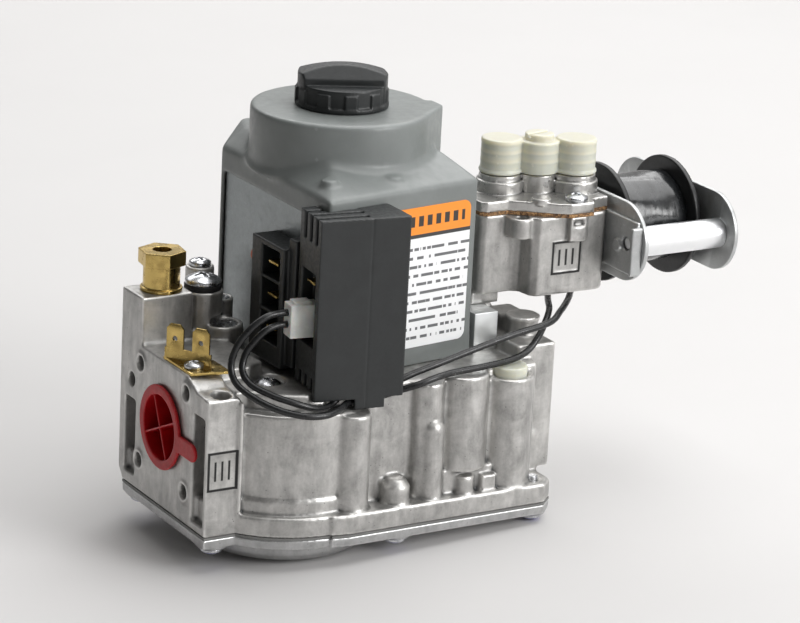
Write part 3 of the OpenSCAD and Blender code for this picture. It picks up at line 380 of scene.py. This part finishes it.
def label_material():
    """Generic label: orange band over a white field with grey bars where text would be."""
    s = Shader("label_print", (0.9, 0.9, 0.9), 0.0, 0.42, Coat_Weight=0.15, Coat_Roughness=0.2)
    turn = math.atan2(COVER_FRONT[1], COVER_FRONT[0])
    u = s.math("ADD", s.math("MULTIPLY", s.axis("X"), math.cos(turn)),
               s.math("MULTIPLY", s.axis("Y"), math.sin(turn)))
    z = s.axis("Z")
    row = s.math("FLOOR", s.math("DIVIDE", z, TEXT_ROW))
    inside = s.math("FRACT", s.math("DIVIDE", z, TEXT_ROW))
    words = s.node("ShaderNodeCombineXYZ")
    s.link(s.math("MULTIPLY", u, 0.55), words.inputs["X"])
    s.link(s.math("MULTIPLY", row, 7.31), words.inputs["Y"])
    run = s.node("ShaderNodeTexNoise")
    run.inputs["Scale"].default_value = 1.0
    run.inputs["Detail"].default_value = 1.0
    s.link(words.outputs[0], run.inputs["Vector"])
    bar = s.math("MULTIPLY", s.span(run.outputs["Fac"], 0.45, 0.46), s.span(inside, 0.32, 0.35))
    bar = s.math("MULTIPLY", bar, s.span(inside, 0.68, 0.65))
    bar = s.math("MULTIPLY", bar, s.span(z, TEXT_HIGH, TEXT_HIGH - 0.4))
    bar = s.math("MULTIPLY", bar, s.span(z, TEXT_LOW, TEXT_LOW + 0.6))
    paper = s.mix(s.noise(6.0, 2), (0.90, 0.91, 0.92), (0.96, 0.96, 0.97))
    base = s.mix(bar, paper, (0.14, 0.145, 0.15))
    base = s.mix(s.span(z, RULE_LOW, RULE_LOW + 0.15), base, (0.035, 0.035, 0.035))
    base = s.mix(s.span(z, BAND_LOW, BAND_LOW + 0.15), base, (0.95, 0.30, 0.022))
    title = s.math("MULTIPLY", s.span(z, TITLE_LOW, TITLE_LOW + 0.2),
                   s.span(z, TITLE_HIGH, TITLE_HIGH - 0.2))
    title = s.math("MULTIPLY", title, s.span(s.math("FRACT", s.math("DIVIDE", u, 3.7)), 0.42, 0.46))
    title = s.math("MULTIPLY", title, s.span(u, TITLE_ENDS[0], TITLE_ENDS[0] + 0.1))
    title = s.math("MULTIPLY", title, s.span(u, TITLE_ENDS[1], TITLE_ENDS[1] - 0.1))
    base = s.mix(title, base, (0.03, 0.025, 0.02))
    s.bump(s.noise(0.5, 2), 0.06, 0.04)
    return s.done(base, s.span(s.noise(4.0, 2), 0.3, 0.7, 0.36, 0.5))


def tape_material():
    """Shiny coil tape laid in overlapping turns, with a ragged seam of adhesive."""
    s = Shader("coil_tape", (0.01, 0.011, 0.012), 0.0, 0.2, Coat_Weight=0.35, Coat_Roughness=0.12)
    wrap = s.noise(5.0, 3, 0.5, vector=s.stretched(1.4, 0.4, 0.4))
    base = s.mix(s.span(wrap, 0.35, 0.7), (0.006, 0.0065, 0.007), (0.03, 0.032, 0.034))
    s.bump(wrap, 0.25, 0.5)
    s.bump(s.noise(0.8, 3), 0.12, 0.08)
    return s.done(base, s.span(s.noise(2.0, 3), 0.3, 0.7, 0.1, 0.3))


def red_material():
    s = Shader("red_plastic", (0.46, 0.012, 0.022), 0.0, 0.36,
               Subsurface_Weight=0.1, Subsurface_Scale=0.002, Specular_IOR_Level=0.3)
    cloud = s.noise(5.0, 3)
    base = s.mix(s.span(cloud, 0.3, 0.7), (0.36, 0.003, 0.006), (0.50, 0.006, 0.010))
    # edges lighter: part wear, part painted highlight
    base = s.mix(s.math("MULTIPLY", s.edges(0.52, 0.58), 0.6), base, (0.80, 0.12, 0.13))
    s.bump(s.noise(0.7, 2), 0.1, 0.06)
    return s.done(base, s.span(s.noise(1.5, 2), 0.3, 0.7, 0.3, 0.45))


def screw_material():
    """Zinc plated screw: bright, with a violet-blue mark of paint low on the head."""
    s = Shader("zinc_screws", (0.62, 0.63, 0.65), 1.0, 0.28)
    patch = s.span(s.noise(2.0, 3), 0.4, 0.66)
    base = s.mix(patch, (0.66, 0.67, 0.69), (0.42, 0.43, 0.45))
    # painted shade: recesses darkened
    base = s.mix(s.painted_hollow_shade(0.485, 0.44), base, (0.06, 0.06, 0.065))
    low = s.span(s.axis("Z"), -34.6, -35.4)
    paint = s.math("MULTIPLY", low, s.span(s.noise(4.0, 3), 0.36, 0.44))
    base = s.mix(paint, base, (0.06, 0.05, 0.50))
    s.bump(s.noise(0.4, 2), 0.12, 0.05)
    return s.done(base, s.span(patch, 0, 1, 0.2, 0.38))


WARM = (1.0, 0.985, 0.955)
# Outlined boxes where a real casting has its foundry marks: datum x and z, width, height
INLET_MARK = (0.9, 16.5, 10.1, 12.8)
REGULATOR_MARK = (134.3, 74.3, 11.0, 11.0)


def mark_corners(mark):
    x, z, width, height = mark
    return (x, z - PORT_Z), (x + width, z + height - PORT_Z)


# cast_metal's edge colour and moulded's edge factor set the lighter edges: part wear, part painted
# highlight
MATERIALS = {
    "casting": cast_metal(
        "casting", grey(0.32, WARM), grey(0.61, WARM), grey(0.88, WARM), 0.78, (0.30, 0.52), 1.0,
        (mark_corners(INLET_MARK), mark_corners(REGULATOR_MARK))),
    "cover_plate": cast_metal("cover_plate", grey(0.34), grey(0.54), grey(0.80), 0.8, (0.28, 0.46), 0.7),
    "zinc_screws": screw_material(),
    "black_rubber": moulded("black_rubber", (0.012, 0.012, 0.013), 0.6, 1.6, 0.25),
    "brass": machined("brass", (0.62, 0.45, 0.155), (0.2, 0.4), (1, 1, 5), (0.36, 0.24, 0.08)),
    "spring_steel": machined("spring_steel", (0.5, 0.5, 0.52), (0.2, 0.35)),
    "red_plastic": red_material(),
    "grey_paint": painted("grey_paint", (0.190, 0.205, 0.200)),
    "galvanised_steel": sheet_metal("galvanised_steel", (0.33, 0.355, 0.36)),
    "label_print": label_material(),
    "black_plastic": moulded("black_plastic", (0.014, 0.016, 0.0165), 0.42),
    "white_plastic": moulded("white_plastic", (0.70, 0.71, 0.68), 0.4, 1.15, 0.2,
                             Subsurface_Weight=0.3, Subsurface_Scale=0.002),
    "copper_wire": machined("copper_wire", (0.60, 0.24, 0.10), (0.25, 0.4)),
    "zinc_steel": sheet_metal("zinc_steel", (0.47, 0.48, 0.48), 0.07, 0.85, (0.34, 0.5), 3.0),
    "plunger_steel": machined("plunger_steel", (0.55, 0.56, 0.58), (0.12, 0.28)),
    "cork": cork_material(),
    "cream_nylon": nylon_material(),
    "coil_plastic": moulded("coil_plastic", (0.0085, 0.009, 0.0095), 0.36, 1.5, 0.12),
    "coil_tape": tape_material(),
    "aluminium_rod": machined("aluminium_rod", (0.88, 0.89, 0.90), (0.3, 0.38), (5, 1, 1),
                              (0.80, 0.81, 0.82), 0.03),
    "orange_plastic": moulded("orange_plastic", (0.55, 0.12, 0.04), 0.45, 1.3),
    "wire_jacket": moulded("wire_jacket", (0.008, 0.0085, 0.009), 0.3, 1.5, 0.1),
    "dark_plug": moulded("dark_plug", (0.05, 0.05, 0.05), 0.5),
}
LID_METAL = cast_metal("regulator_lid", grey(0.44, WARM), grey(0.64, WARM), grey(0.88, WARM),
                       0.85, (0.27, 0.42), 0.5)
JOINT_GREY = moulded("joint_sheet", (0.16, 0.16, 0.155), 0.6, 1.3)


# ---------------------------------------------------------------- mesh kit
FACE_LIMIT = 190000  # triangles in one skin
RELAX_STEP = 0.5


def make_object(name, mesh):
    obj = bpy.data.objects.new(name, mesh)
    SCENE.collection.objects.link(obj)
    return obj


def copy_nodes(names):
    """One bmesh of several CAD nodes' shapes, welded where the import split them."""
    bm = bmesh.new()
    for name in names:
        bm.from_mesh(NODES[name].data)
    bmesh.ops.remove_doubles(bm, verts=bm.verts, dist=2e-6)
    return bm


def settle(obj):
    """Replaces an object's mesh with its modified one."""
    graph = bpy.context.evaluated_depsgraph_get()
    mesh = bpy.data.meshes.new_from_object(obj.evaluated_get(graph))
    old = obj.data
    obj.modifiers.clear()
    obj.data = mesh
    bpy.data.meshes.remove(old)


def relax(mesh, rounds, weight=None):
    """Rounds a dense mesh by moving each point to its neighbours' mean."""
    count = len(mesh.vertices)
    flat = np.empty(count * 3, np.float32)
    mesh.vertices.foreach_get("co", flat)
    co = flat.reshape(-1, 3).astype(np.float64)
    pairs = np.empty(len(mesh.edges) * 2, np.int32)
    mesh.edges.foreach_get("vertices", pairs)
    a, b = pairs[0::2], pairs[1::2]
    degree = np.bincount(pairs, minlength=count).clip(1)
    if weight is None:
        pull = np.full(count, RELAX_STEP)
    else:
        pull = RELAX_STEP * weight(co / MM + (0, PORT_Y, PORT_Z))
    for _ in range(rounds):
        mean = np.empty_like(co)
        for k in range(3):
            mean[:, k] = np.bincount(a, co[b, k], count) + np.bincount(b, co[a, k], count)
        co += (mean / degree[:, None] - co) * pull[:, None]
    mesh.vertices.foreach_set("co", co.astype(np.float32).ravel())
    mesh.update()


def fuse(obj, voxel, rounds, weight=None):
    """Joins overlapping solids into one skin, rounds it and thins it to FACE_LIMIT."""
    modifier = obj.modifiers.new("fuse", "REMESH")
    modifier.mode = "VOXEL"
    modifier.voxel_size = voxel * MM
    settle(obj)
    relax(obj.data, rounds, weight)
    faces = 2 * len(obj.data.polygons)
    if faces > FACE_LIMIT:
        thin = obj.modifiers.new("thin", "DECIMATE")
        thin.ratio = FACE_LIMIT / faces
        settle(obj)
    for polygon in obj.data.polygons:
        polygon.use_smooth = True


def dress(obj, slot_name, material=None):
    obj.data.materials.clear()
    obj.data.materials.append(material or MATERIALS[slot_name])


def body_of_node(name):
    return NODES[name]["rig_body"]


def skin(name, nodes, slot_name, voxel, rounds, extra=None, weight=None, material=None):
    """A rounded, detailed skin that stands for one or more CAD nodes."""
    bm = copy_nodes(nodes)
    if extra:
        extra(bm)
    mesh = bpy.data.meshes.new(name)
    bm.to_mesh(mesh)
    bm.free()
    obj = make_object(name, mesh)
    fuse(obj, voxel, rounds, weight)
    dress(obj, slot_name, material)
    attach(obj, body_of_node(nodes[0]))
    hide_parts(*nodes)


def folded(name, nodes, slot_name, width):
    """Sheet parts keep their flat faces and only get small rounded edges."""
    bm = copy_nodes(nodes)
    bmesh.ops.dissolve_limit(bm, angle_limit=math.radians(1), verts=bm.verts, edges=bm.edges)
    sharp = [e for e in bm.edges if len(e.link_faces) == 2 and e.calc_face_angle(0) > math.radians(35)]
    bmesh.ops.bevel(bm, geom=sharp, offset=width * MM, segments=3, profile=0.5,
                    affect="EDGES", clamp_overlap=True)
    bmesh.ops.triangulate(bm, faces=[f for f in bm.faces if len(f.verts) > 4])
    mesh = bpy.data.meshes.new(name)
    bm.to_mesh(mesh)
    bm.free()
    mesh.shade_smooth()
    mesh.set_sharp_from_angle(angle=math.radians(28))
    obj = make_object(name, mesh)
    dress(obj, slot_name)
    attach(obj, body_of_node(nodes[0]))
    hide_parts(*nodes)


def add_box(bm, low, high, turn):
    """A solid box between two datum points, turned in degrees about its upright middle line."""
    low, high = at(*low), at(*high)
    made = bmesh.ops.create_cube(bm, size=1)["verts"]
    centre = (low + high) / 2
    size = high - low
    matrix = Matrix.Translation(centre) @ Matrix.Diagonal((*size, 1))
    matrix = (
        Matrix.Translation(centre) @ Matrix.Rotation(math.radians(turn), 4, "Z")
        @ Matrix.Translation(-centre) @ matrix
    )
    bmesh.ops.transform(bm, matrix=matrix, verts=made)


def add_rod(bm, start, end, r1, r2, sides):
    """A solid cone or cylinder between two datum points."""
    a, b = at(*start), at(*end)
    direction = b - a
    made = bmesh.ops.create_cone(
        bm, cap_ends=True, segments=sides, radius1=r1 * MM, radius2=r2 * MM,
        depth=direction.length)["verts"]
    turn = direction.to_track_quat("Z", "Y").to_matrix().to_4x4()
    bmesh.ops.transform(bm, matrix=Matrix.Translation((a + b) / 2) @ turn, verts=made)


def add_tube(bm, points, radius, sides, closed=False):
    """Sweeps a round bead along datum points."""
    path = [at(*p) for p in points]
    count = len(path)
    rings = []
    side = None
    for i in range(count):
        before = path[i - 1] if closed or i else path[0]
        after = path[(i + 1) % count] if closed or i < count - 1 else path[-1]
        direction = (after - before).normalized()
        if side is None:
            side = direction.orthogonal().normalized()
        side = (side - direction * side.dot(direction)).normalized()
        other = direction.cross(side)
        rings.append([
            bm.verts.new(path[i] + radius * MM * (
                math.cos(2 * math.pi * k / sides) * side + math.sin(2 * math.pi * k / sides) * other))
            for k in range(sides)
        ])
    for i in range(count if closed else count - 1):
        near, far = rings[i], rings[(i + 1) % count]
        for k in range(sides):
            bm.faces.new((near[k], near[(k + 1) % sides], far[(k + 1) % sides], far[k]))
    if not closed:
        bm.faces.new(list(reversed(rings[0])))
        bm.faces.new(rings[-1])


def smooth_route(points, steps):
    """Catmull-Rom curve through given points."""
    p = [Vector(q) for q in points]
    last = len(p) - 1
    route = []
    for i in range(last):
        a, b, c, d = p[max(i - 1, 0)], p[i], p[i + 1], p[min(i + 2, last)]
        for k in range(steps):
            t = k / steps
            route.append(0.5 * (
                2 * b + (c - a) * t + (2 * a - 5 * b + 4 * c - d) * t * t
                + (3 * b - a - 3 * c + d) * t * t * t))
    route.append(p[last])
    return route


# ---------------------------------------------------------------- cords
WIRE_R = 1.15
# Datum points from the white plug to the coil
OUTER_ROUTE = [
    (30.6, 2.75, 73.6), (27, 3.2, 73.6), (22, 3, 73), (16.5, 3.4, 69.5), (12.5, 5, 63.5),
    (10.5, 5, 57), (11, 1.6, 51.8), (15, -5, 48), (21, -10.8, 45.2), (28, -14.4, 43.6),
    (34, -15.2, 43.1), (39, -14, 43.2), (43.6, -11.2, 43.5), (47.6, -8, 43.6), (52, -7.4, 43.8),
    (56, -8, 44.1), (60, -8.8, 44.7), (66, -9.6, 46), (72, -11.8, 47.9), (78, -12, 49.4),
    (86, -10.6, 50), (98, -9.6, 50.2), (110, -8, 50.5), (118, -6.2, 52), (123.6, -4.2, 55.8),
    (128.6, -0.8, 60), (133, 4, 62.4), (137.6, 12, 63), (143.6, 21, 62.8), (151, 29.6, 62.6),
    (160, 36.4, 63), (167.2, 39, 66.4), (171.2, 38, 71.6), (172.4, 35, 77),
]
INNER_ROUTE = [
    (30.6, 2.75, 69.6), (26.6, 3, 69.6), (22, 3, 68.4), (18, 3.4, 65), (15.3, 4.4, 60.5),
    (13.6, 2.8, 55.6), (14.8, -1.2, 52), (19.5, -6.4, 49.4), (25, -9.8, 47.4), (30, -11.2, 45.6),
    (34.6, -11, 44.2), (38.6, -9.4, 43.5), (42, -7.6, 43.9), (46, -6.5, 46.2), (50, -6.6, 47),
    (54.5, -7.4, 47.4), (60, -8, 47.9), (66, -9, 49.4), (72, -9.2, 51.2), (82, -9, 53.4),
    (96, -8, 56.2), (112, -7, 59.2), (127, -5.4, 61), (134, -1.4, 63.2), (141, 5, 64.4),
    (147, 12.4, 64.4), (154, 22, 64), (160.6, 30.4, 63.2), (166, 35, 65), (169, 36, 70),
    (169.6, 34, 75.4),
]


def add_wire(name, route, node):
    """A round-jacketed wire as one open spline from the coil to the white plug."""
    line = [at(*p) for p in reversed(smooth_route(route, 6))]
    data = bpy.data.curves.new(name, "CURVE")
    data.dimensions = "3D"
    data.bevel_depth = WIRE_R * MM
    data.bevel_resolution = 6
    data.use_fill_caps = True
    spline = data.splines.new("POLY")
    spline.points.add(len(line) - 1)
    for point, where in zip(spline.points, line):
        point.co = (*where, 1)
    spline.use_smooth = True
    obj = make_object(name, data)
    obj.data.materials.append(MATERIALS["wire_jacket"])
    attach(obj, body_of_node(node))
    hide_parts(node)


add_wire("outer_wire", OUTER_ROUTE, "wire_outer")
add_wire("inner_wire", INNER_ROUTE, "wire_inner")


# ---------------------------------------------------------------- casting
INLET_BOLTS = (33.5, 34.5)  # spacing of the inlet face's bolt holes along y and z
THREAD_R, THREAD_PITCH = 12.25, 1.814


def raised_frame(bm, mark, y):
    """A generic raised rectangle on an upright face, drawn as a hand-cut bead."""
    x, z, width, height = mark
    points = []
    steps = 14
    corners = [(0, 0), (width, 0), (width, height), (0, height)]
    for i in range(4):
        (u0, v0), (u1, v1) = corners[i], corners[(i + 1) % 4]
        for k in range(steps):
            t = k / steps
            u = u0 + (u1 - u0) * t + 0.1 * math.sin(7.1 * t + 2.3 * i)
            v = v0 + (v1 - v0) * t + 0.1 * math.cos(5.3 * t + 1.7 * i)
            points.append((x + u, y, z + v))
    add_tube(bm, points, 0.42, 8, True)


def thread(bm, start, length):
    """Helical ridge inside a port, whose axis is x."""
    steps = 48
    points = []
    for i in range(int(length / THREAD_PITCH * steps) + 1):
        angle = 2 * math.pi * i / steps
        points.append((
            start + THREAD_PITCH * i / steps,
            PORT_Y + THREAD_R * math.cos(angle),
            PORT_Z + THREAD_R * math.sin(angle),
        ))
    add_tube(bm, points, 0.75, 6)


def hole_lip(bm, y, z):
    """Raised lip round a bolt hole of the inlet face."""
    angles = [2 * math.pi * k / 32 for k in range(32)]
    add_tube(bm, [(0.0, y + 3.2 * math.cos(a), z + 3.2 * math.sin(a)) for a in angles], 0.75, 10, True)


def casting_details(bm):
    raised_frame(bm, INLET_MARK, -0.02)
    # Threads of the outlet port and of the inlet port behind its cap
    thread(bm, 116.5, 14.0)
    thread(bm, 8.6, 5.2)
    # One ejector pin mark on the chamber wall
    add_rod(bm, (124.5, -2.8, 20), (124.5, -3.4, 20), 1.6, 1.5, 24)
    for sy in (-1, 1):
        for sz in (-1, 1):
            hole_lip(bm, PORT_Y + sy * INLET_BOLTS[0] / 2, PORT_Z + sz * INLET_BOLTS[1] / 2)
    # Upright fillet bead where the inlet end meets the chamber wall
    add_tube(bm, [(12.2, -0.3, 8), (12.3, -0.5, 20), (12.3, -0.5, 34), (12.2, -0.3, 46)], 0.9, 10)


def joint_weight(points):
    """Less rounding close to the joint plane, so that the joint stays a fine line."""
    return np.clip(np.abs(points[:, 2] + 0.4) / 2.5, 0.12, 1.0)


skin("body_casting", ["main_casting"], "casting", 0.55, 5, casting_details, joint_weight)
skin("bottom_pan", ["bottom_cover"], "cover_plate", 0.5, 6, weight=joint_weight)
skin("bottom_screw_set", ["bottom_screws"], "zinc_screws", 0.25, 2)
skin("plug_screws", ["casting_plugs"], "zinc_screws", 0.22, 1)
skin("nylon_plug", ["column_plug"], "cream_nylon", 0.3, 3)
skin("deck_screw_set", ["deck_screws"], "zinc_screws", 0.2, 2)
folded("bracket_strip", ["support_bracket"], "zinc_steel", 0.2)


# ---------------------------------------------------------------- operator cover and knob
COVER_CORNER = (42.5, 1)  # x and y of the cover's front left corner
COVER_END = 105  # x of its right side
SLOPE_FOOT, SLOPE_RISE = 110, 6.4  # height where the top starts to slope, and how much it rises
BOSS_X, BOSS_Y = 72, 47
KNOB_TURN = -24  # of the knob's pointer, in degrees


def cover_weight(points):
    """Full rounding on the cover's top and upright edges, little on its rim and square corner."""
    full = np.clip((points[:, 2] - 52) / 10, 0.12, 1.0)
    corner = np.clip((points[:, 0] - 94) / 5, 0, 1) * np.clip((points[:, 2] - 111) / 3, 0, 1)
    return full * (1 - 0.78 * corner)


def cover_details(bm):
    """A fillet where the round boss rises out of the sloping top."""
    edge = Vector(COVER_FRONT).normalized()
    left, front = COVER_CORNER
    points = []
    for k in range(75):
        angle = math.radians(150 + k * 2.4)
        x, y = BOSS_X + 31.3 * math.cos(angle), BOSS_Y + 31.3 * math.sin(angle)
        back = -(x - left) * edge.y + (y - front) * edge.x
        slopes = [SLOPE_FOOT + SLOPE_RISE * run / width
                  for run, width in ((back, 18.5), (x - left, 11), (COVER_END - x, 6))]
        points.append((x, y, min(116.3, *slopes)))
    add_tube(bm, points, 1.2, 12)


skin("operator_cover", ["top_cover"], "grey_paint", 0.42, 34, cover_details, cover_weight)
skin("galvanised_side", ["side_panel"], "galvanised_steel", 0.36, 2)


def knob_details(bm):
    """A raised pointer on the knob's rim."""
    turn = math.radians(180 + KNOB_TURN)
    x, y = BOSS_X + 15.2 * math.cos(turn), BOSS_Y + 15.2 * math.sin(turn)
    add_box(bm, (x - 0.9, y - 1.6, 130.2), (x + 0.6, y + 1.6, 135.6), KNOB_TURN)


skin("turn_knob", ["control_knob"], "black_plastic", 0.3, 3, knob_details)


# ---------------------------------------------------------------- regulator
def regulator_details(bm):
    raised_frame(bm, REGULATOR_MARK, 5.95)


skin("regulator_block", ["regulator_body"], "casting", 0.42, 7, regulator_details)
skin("regulator_lid", ["regulator_top"], "casting", 0.3, 4, material=LID_METAL)
skin("regulator_screw_set", ["regulator_screws"], "zinc_screws", 0.2, 2)


def cap_details(bm):
    """Moulded lips round the foot, middle and rim of each of the three lobes."""
    centre, pitch, turn = (137.8, 24.0), 13.2, math.radians(-20)
    for i in (-1, 0, 1):
        x = centre[0] + i * pitch * math.cos(turn)
        y = centre[1] + i * pitch * math.sin(turn)
        for z, h in ((110.2, 0.3), (113.4, 0.3), (116.8, 0.4)):
            add_rod(bm, (x, y, z - h), (x, y, z + h), 7.12, 7.12, 64)


skin("cap_cluster", ["regulator_cap"], "cream_nylon", 0.27, 3, cap_details)


# ---------------------------------------------------------------- step-opening solenoid
skin("bobbin_flanges", ["coil_bobbin"], "coil_plastic", 0.3, 3)
folded("yoke_inner", ["yoke_left"], "zinc_steel", 0.3)
folded("yoke_outer", ["yoke_right"], "zinc_steel", 0.3)
skin("spacer_pair", ["spacer_rods"], "aluminium_rod", 0.3, 3)
skin("yoke_screw_set", ["yoke_screws"], "zinc_screws", 0.22, 2)
skin("coil_mount", ["coil_bracket"], "zinc_steel", 0.36, 4)


def add_tape_winding():
    """The winding under its tape: a slightly lumpy drum with one ragged overlap."""
    low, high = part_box("coil_winding")
    length = (high.x - low.x) / MM
    radius = (high.z - low.z) / MM / 2
    cy, cz = (low.y + high.y) / 2, (low.z + high.z) / 2
    bm = bmesh.new()
    sides, rows = 160, 54
    rings = []
    for j in range(rows + 1):
        u = j / rows
        ring = []
        for k in range(sides):
            angle = 2 * math.pi * k / sides
            ragged = 0.10 * math.sin(23 * u) + 0.07 * math.sin(57 * u + 1.3) + 0.04 * math.sin(131 * u)
            past = ((angle - 5.05 - ragged) % (2 * math.pi)) / (2 * math.pi)
            step = -0.55 * max(0.0, 1 - past / 0.02) if past < 0.02 else 0.0
            sag = 0.16 * math.sin(3 * angle + 4 * u) + 0.09 * math.sin(9 * angle - 7 * u)
            edge = -0.5 * (abs(2 * u - 1) ** 10)
            r = (radius - 0.35 + sag + step + edge - 0.35 * past) * MM
            ring.append(bm.verts.new(Vector((
                low.x + u * length * MM, cy + r * math.cos(angle), cz + r * math.sin(angle)))))
        rings.append(ring)
    for j in range(rows):
        for k in range(sides):
            m = (k + 1) % sides
            bm.faces.new((rings[j][k], rings[j][m], rings[j + 1][m], rings[j + 1][k]))
    bm.faces.new(rings[0])
    bm.faces.new(list(reversed(rings[-1])))
    bmesh.ops.recalc_face_normals(bm, faces=bm.faces)
    mesh = bpy.data.meshes.new("taped_winding")
    bm.to_mesh(mesh)
    bm.free()
    for polygon in mesh.polygons:
        polygon.use_smooth = len(polygon.vertices) == 4
    obj = make_object("taped_winding", mesh)
    dress(obj, "coil_tape")
    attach(obj, body_of_node("coil_winding"))
    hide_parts("coil_winding")


add_tape_winding()


# ---------------------------------------------------------------- connector module
skin("connector_body", ["connector_module"], "black_plastic", 0.32, 2)
skin("terminal_housing", ["terminal_block"], "black_plastic", 0.32, 2)
folded("blade_set", ["spade_terminals"], "brass", 0.12)
skin("status_button", ["indicator_button"], "orange_plastic", 0.2, 3)
skin("lead_plug", ["wire_plug"], "white_plastic", 0.22, 3)


# ---------------------------------------------------------------- inlet end and deck
skin("port_cap", ["inlet_cap"], "red_plastic", 0.27, 3)
skin("pilot_union", ["pilot_fitting"], "brass", 0.2, 1)
skin("pilot_screw_head", ["pilot_screw"], "zinc_screws", 0.22, 2)
skin("pilot_seal_ring", ["pilot_seal"], "black_rubber", 0.24, 3)
folded("ground_tabs", ["ground_terminal"], "brass", 0.15)
skin("ground_screw_head", ["ground_screw"], "zinc_screws", 0.16, 2)


# ---------------------------------------------------------------- nodes that stay as CAD
def carry_over():
    """Every CAD node that is still shown gets the finish of its slot."""
    for name, obj in NODES.items():
        if obj.hide_render:
            continue
        for held in obj.material_slots:
            key = held.material.name.split(".")[0] if held.material else None
            if name == "main_diaphragm":
                held.material = JOINT_GREY
            else:
                held.material = MATERIALS.get(key, MATERIALS["casting"])


carry_over()


# ---------------------------------------------------------------- stage and light
def add_stage():
    """A pale floor that touches the bulge and the right-hand screw heads."""
    left, right = at(64, PORT_Y, -10.45), at(121, PORT_Y, -7.65)
    slope = math.atan2(right.z - left.z, right.x - left.x)
    bm = bmesh.new()
    bmesh.ops.create_circle(bm, cap_ends=True, segments=96, radius=4.0)
    mesh = bpy.data.meshes.new("floor")
    bm.to_mesh(mesh)
    bm.free()
    floor = make_object("floor", mesh)
    floor.matrix_world = Matrix.Translation(left) @ Matrix.Rotation(-slope, 4, "Y")
    s = Shader("floor", (0.60, 0.60, 0.60), 0.0, 0.85)
    s.main.inputs["Specular IOR Level"].default_value = 0.2
    base = s.mix(s.noise(90.0, 4), (0.665, 0.655, 0.650), (0.690, 0.680, 0.675))
    s.bump(s.noise(0.6, 2), 0.05, 0.1)
    floor.data.materials.append(s.done(base))


def area_light(name, where, target, size, power, color=(1, 1, 1)):
    data = bpy.data.lights.new(name, "AREA")
    data.shape = "RECTANGLE"
    data.size, data.size_y = size
    data.energy = power
    data.color = color
    light = bpy.data.objects.new(name, data)
    SCENE.collection.objects.link(light)
    light.location = where
    light.rotation_euler = (Vector(target) - Vector(where)).to_track_quat("-Z", "Y").to_euler()


def add_lights():
    """A soft room that is brighter towards the outlet end, and three area lights."""
    world = bpy.data.worlds.new("studio")
    SCENE.world = world
    world.use_nodes = True
    background = world.node_tree.nodes["Background"]
    background.inputs["Color"].default_value = (1.0, 0.99, 0.975, 1)
    tree = world.node_tree
    coords = tree.nodes.new("ShaderNodeTexCoord")
    split = tree.nodes.new("ShaderNodeSeparateXYZ")
    ramp = tree.nodes.new("ShaderNodeMapRange")
    for key, value in (("From Min", -0.7), ("From Max", 0.7), ("To Min", 0.10), ("To Max", 0.52)):
        ramp.inputs[key].default_value = value
    tree.links.new(coords.outputs["Generated"], split.inputs[0])
    tree.links.new(split.outputs["X"], ramp.inputs["Value"])
    tree.links.new(ramp.outputs["Result"], background.inputs["Strength"])
    middle = (0.08, 0.0, 0.03)
    area_light("overhead", (0.5, 0.0, 1.2), middle, (1.3, 1.2), 14)
    area_light("behind", (0.6, 1.35, 1.1), (0.45, 1.1, 0.0), (1.6, 0.9), 12)
    area_light("front_right", (0.7, -1.15, 0.6), middle, (0.6, 0.7), 12)


add_stage()
add_lights()

# ---------------------------------------------------------------- view transform
SCENE.view_settings.view_transform = "Standard"
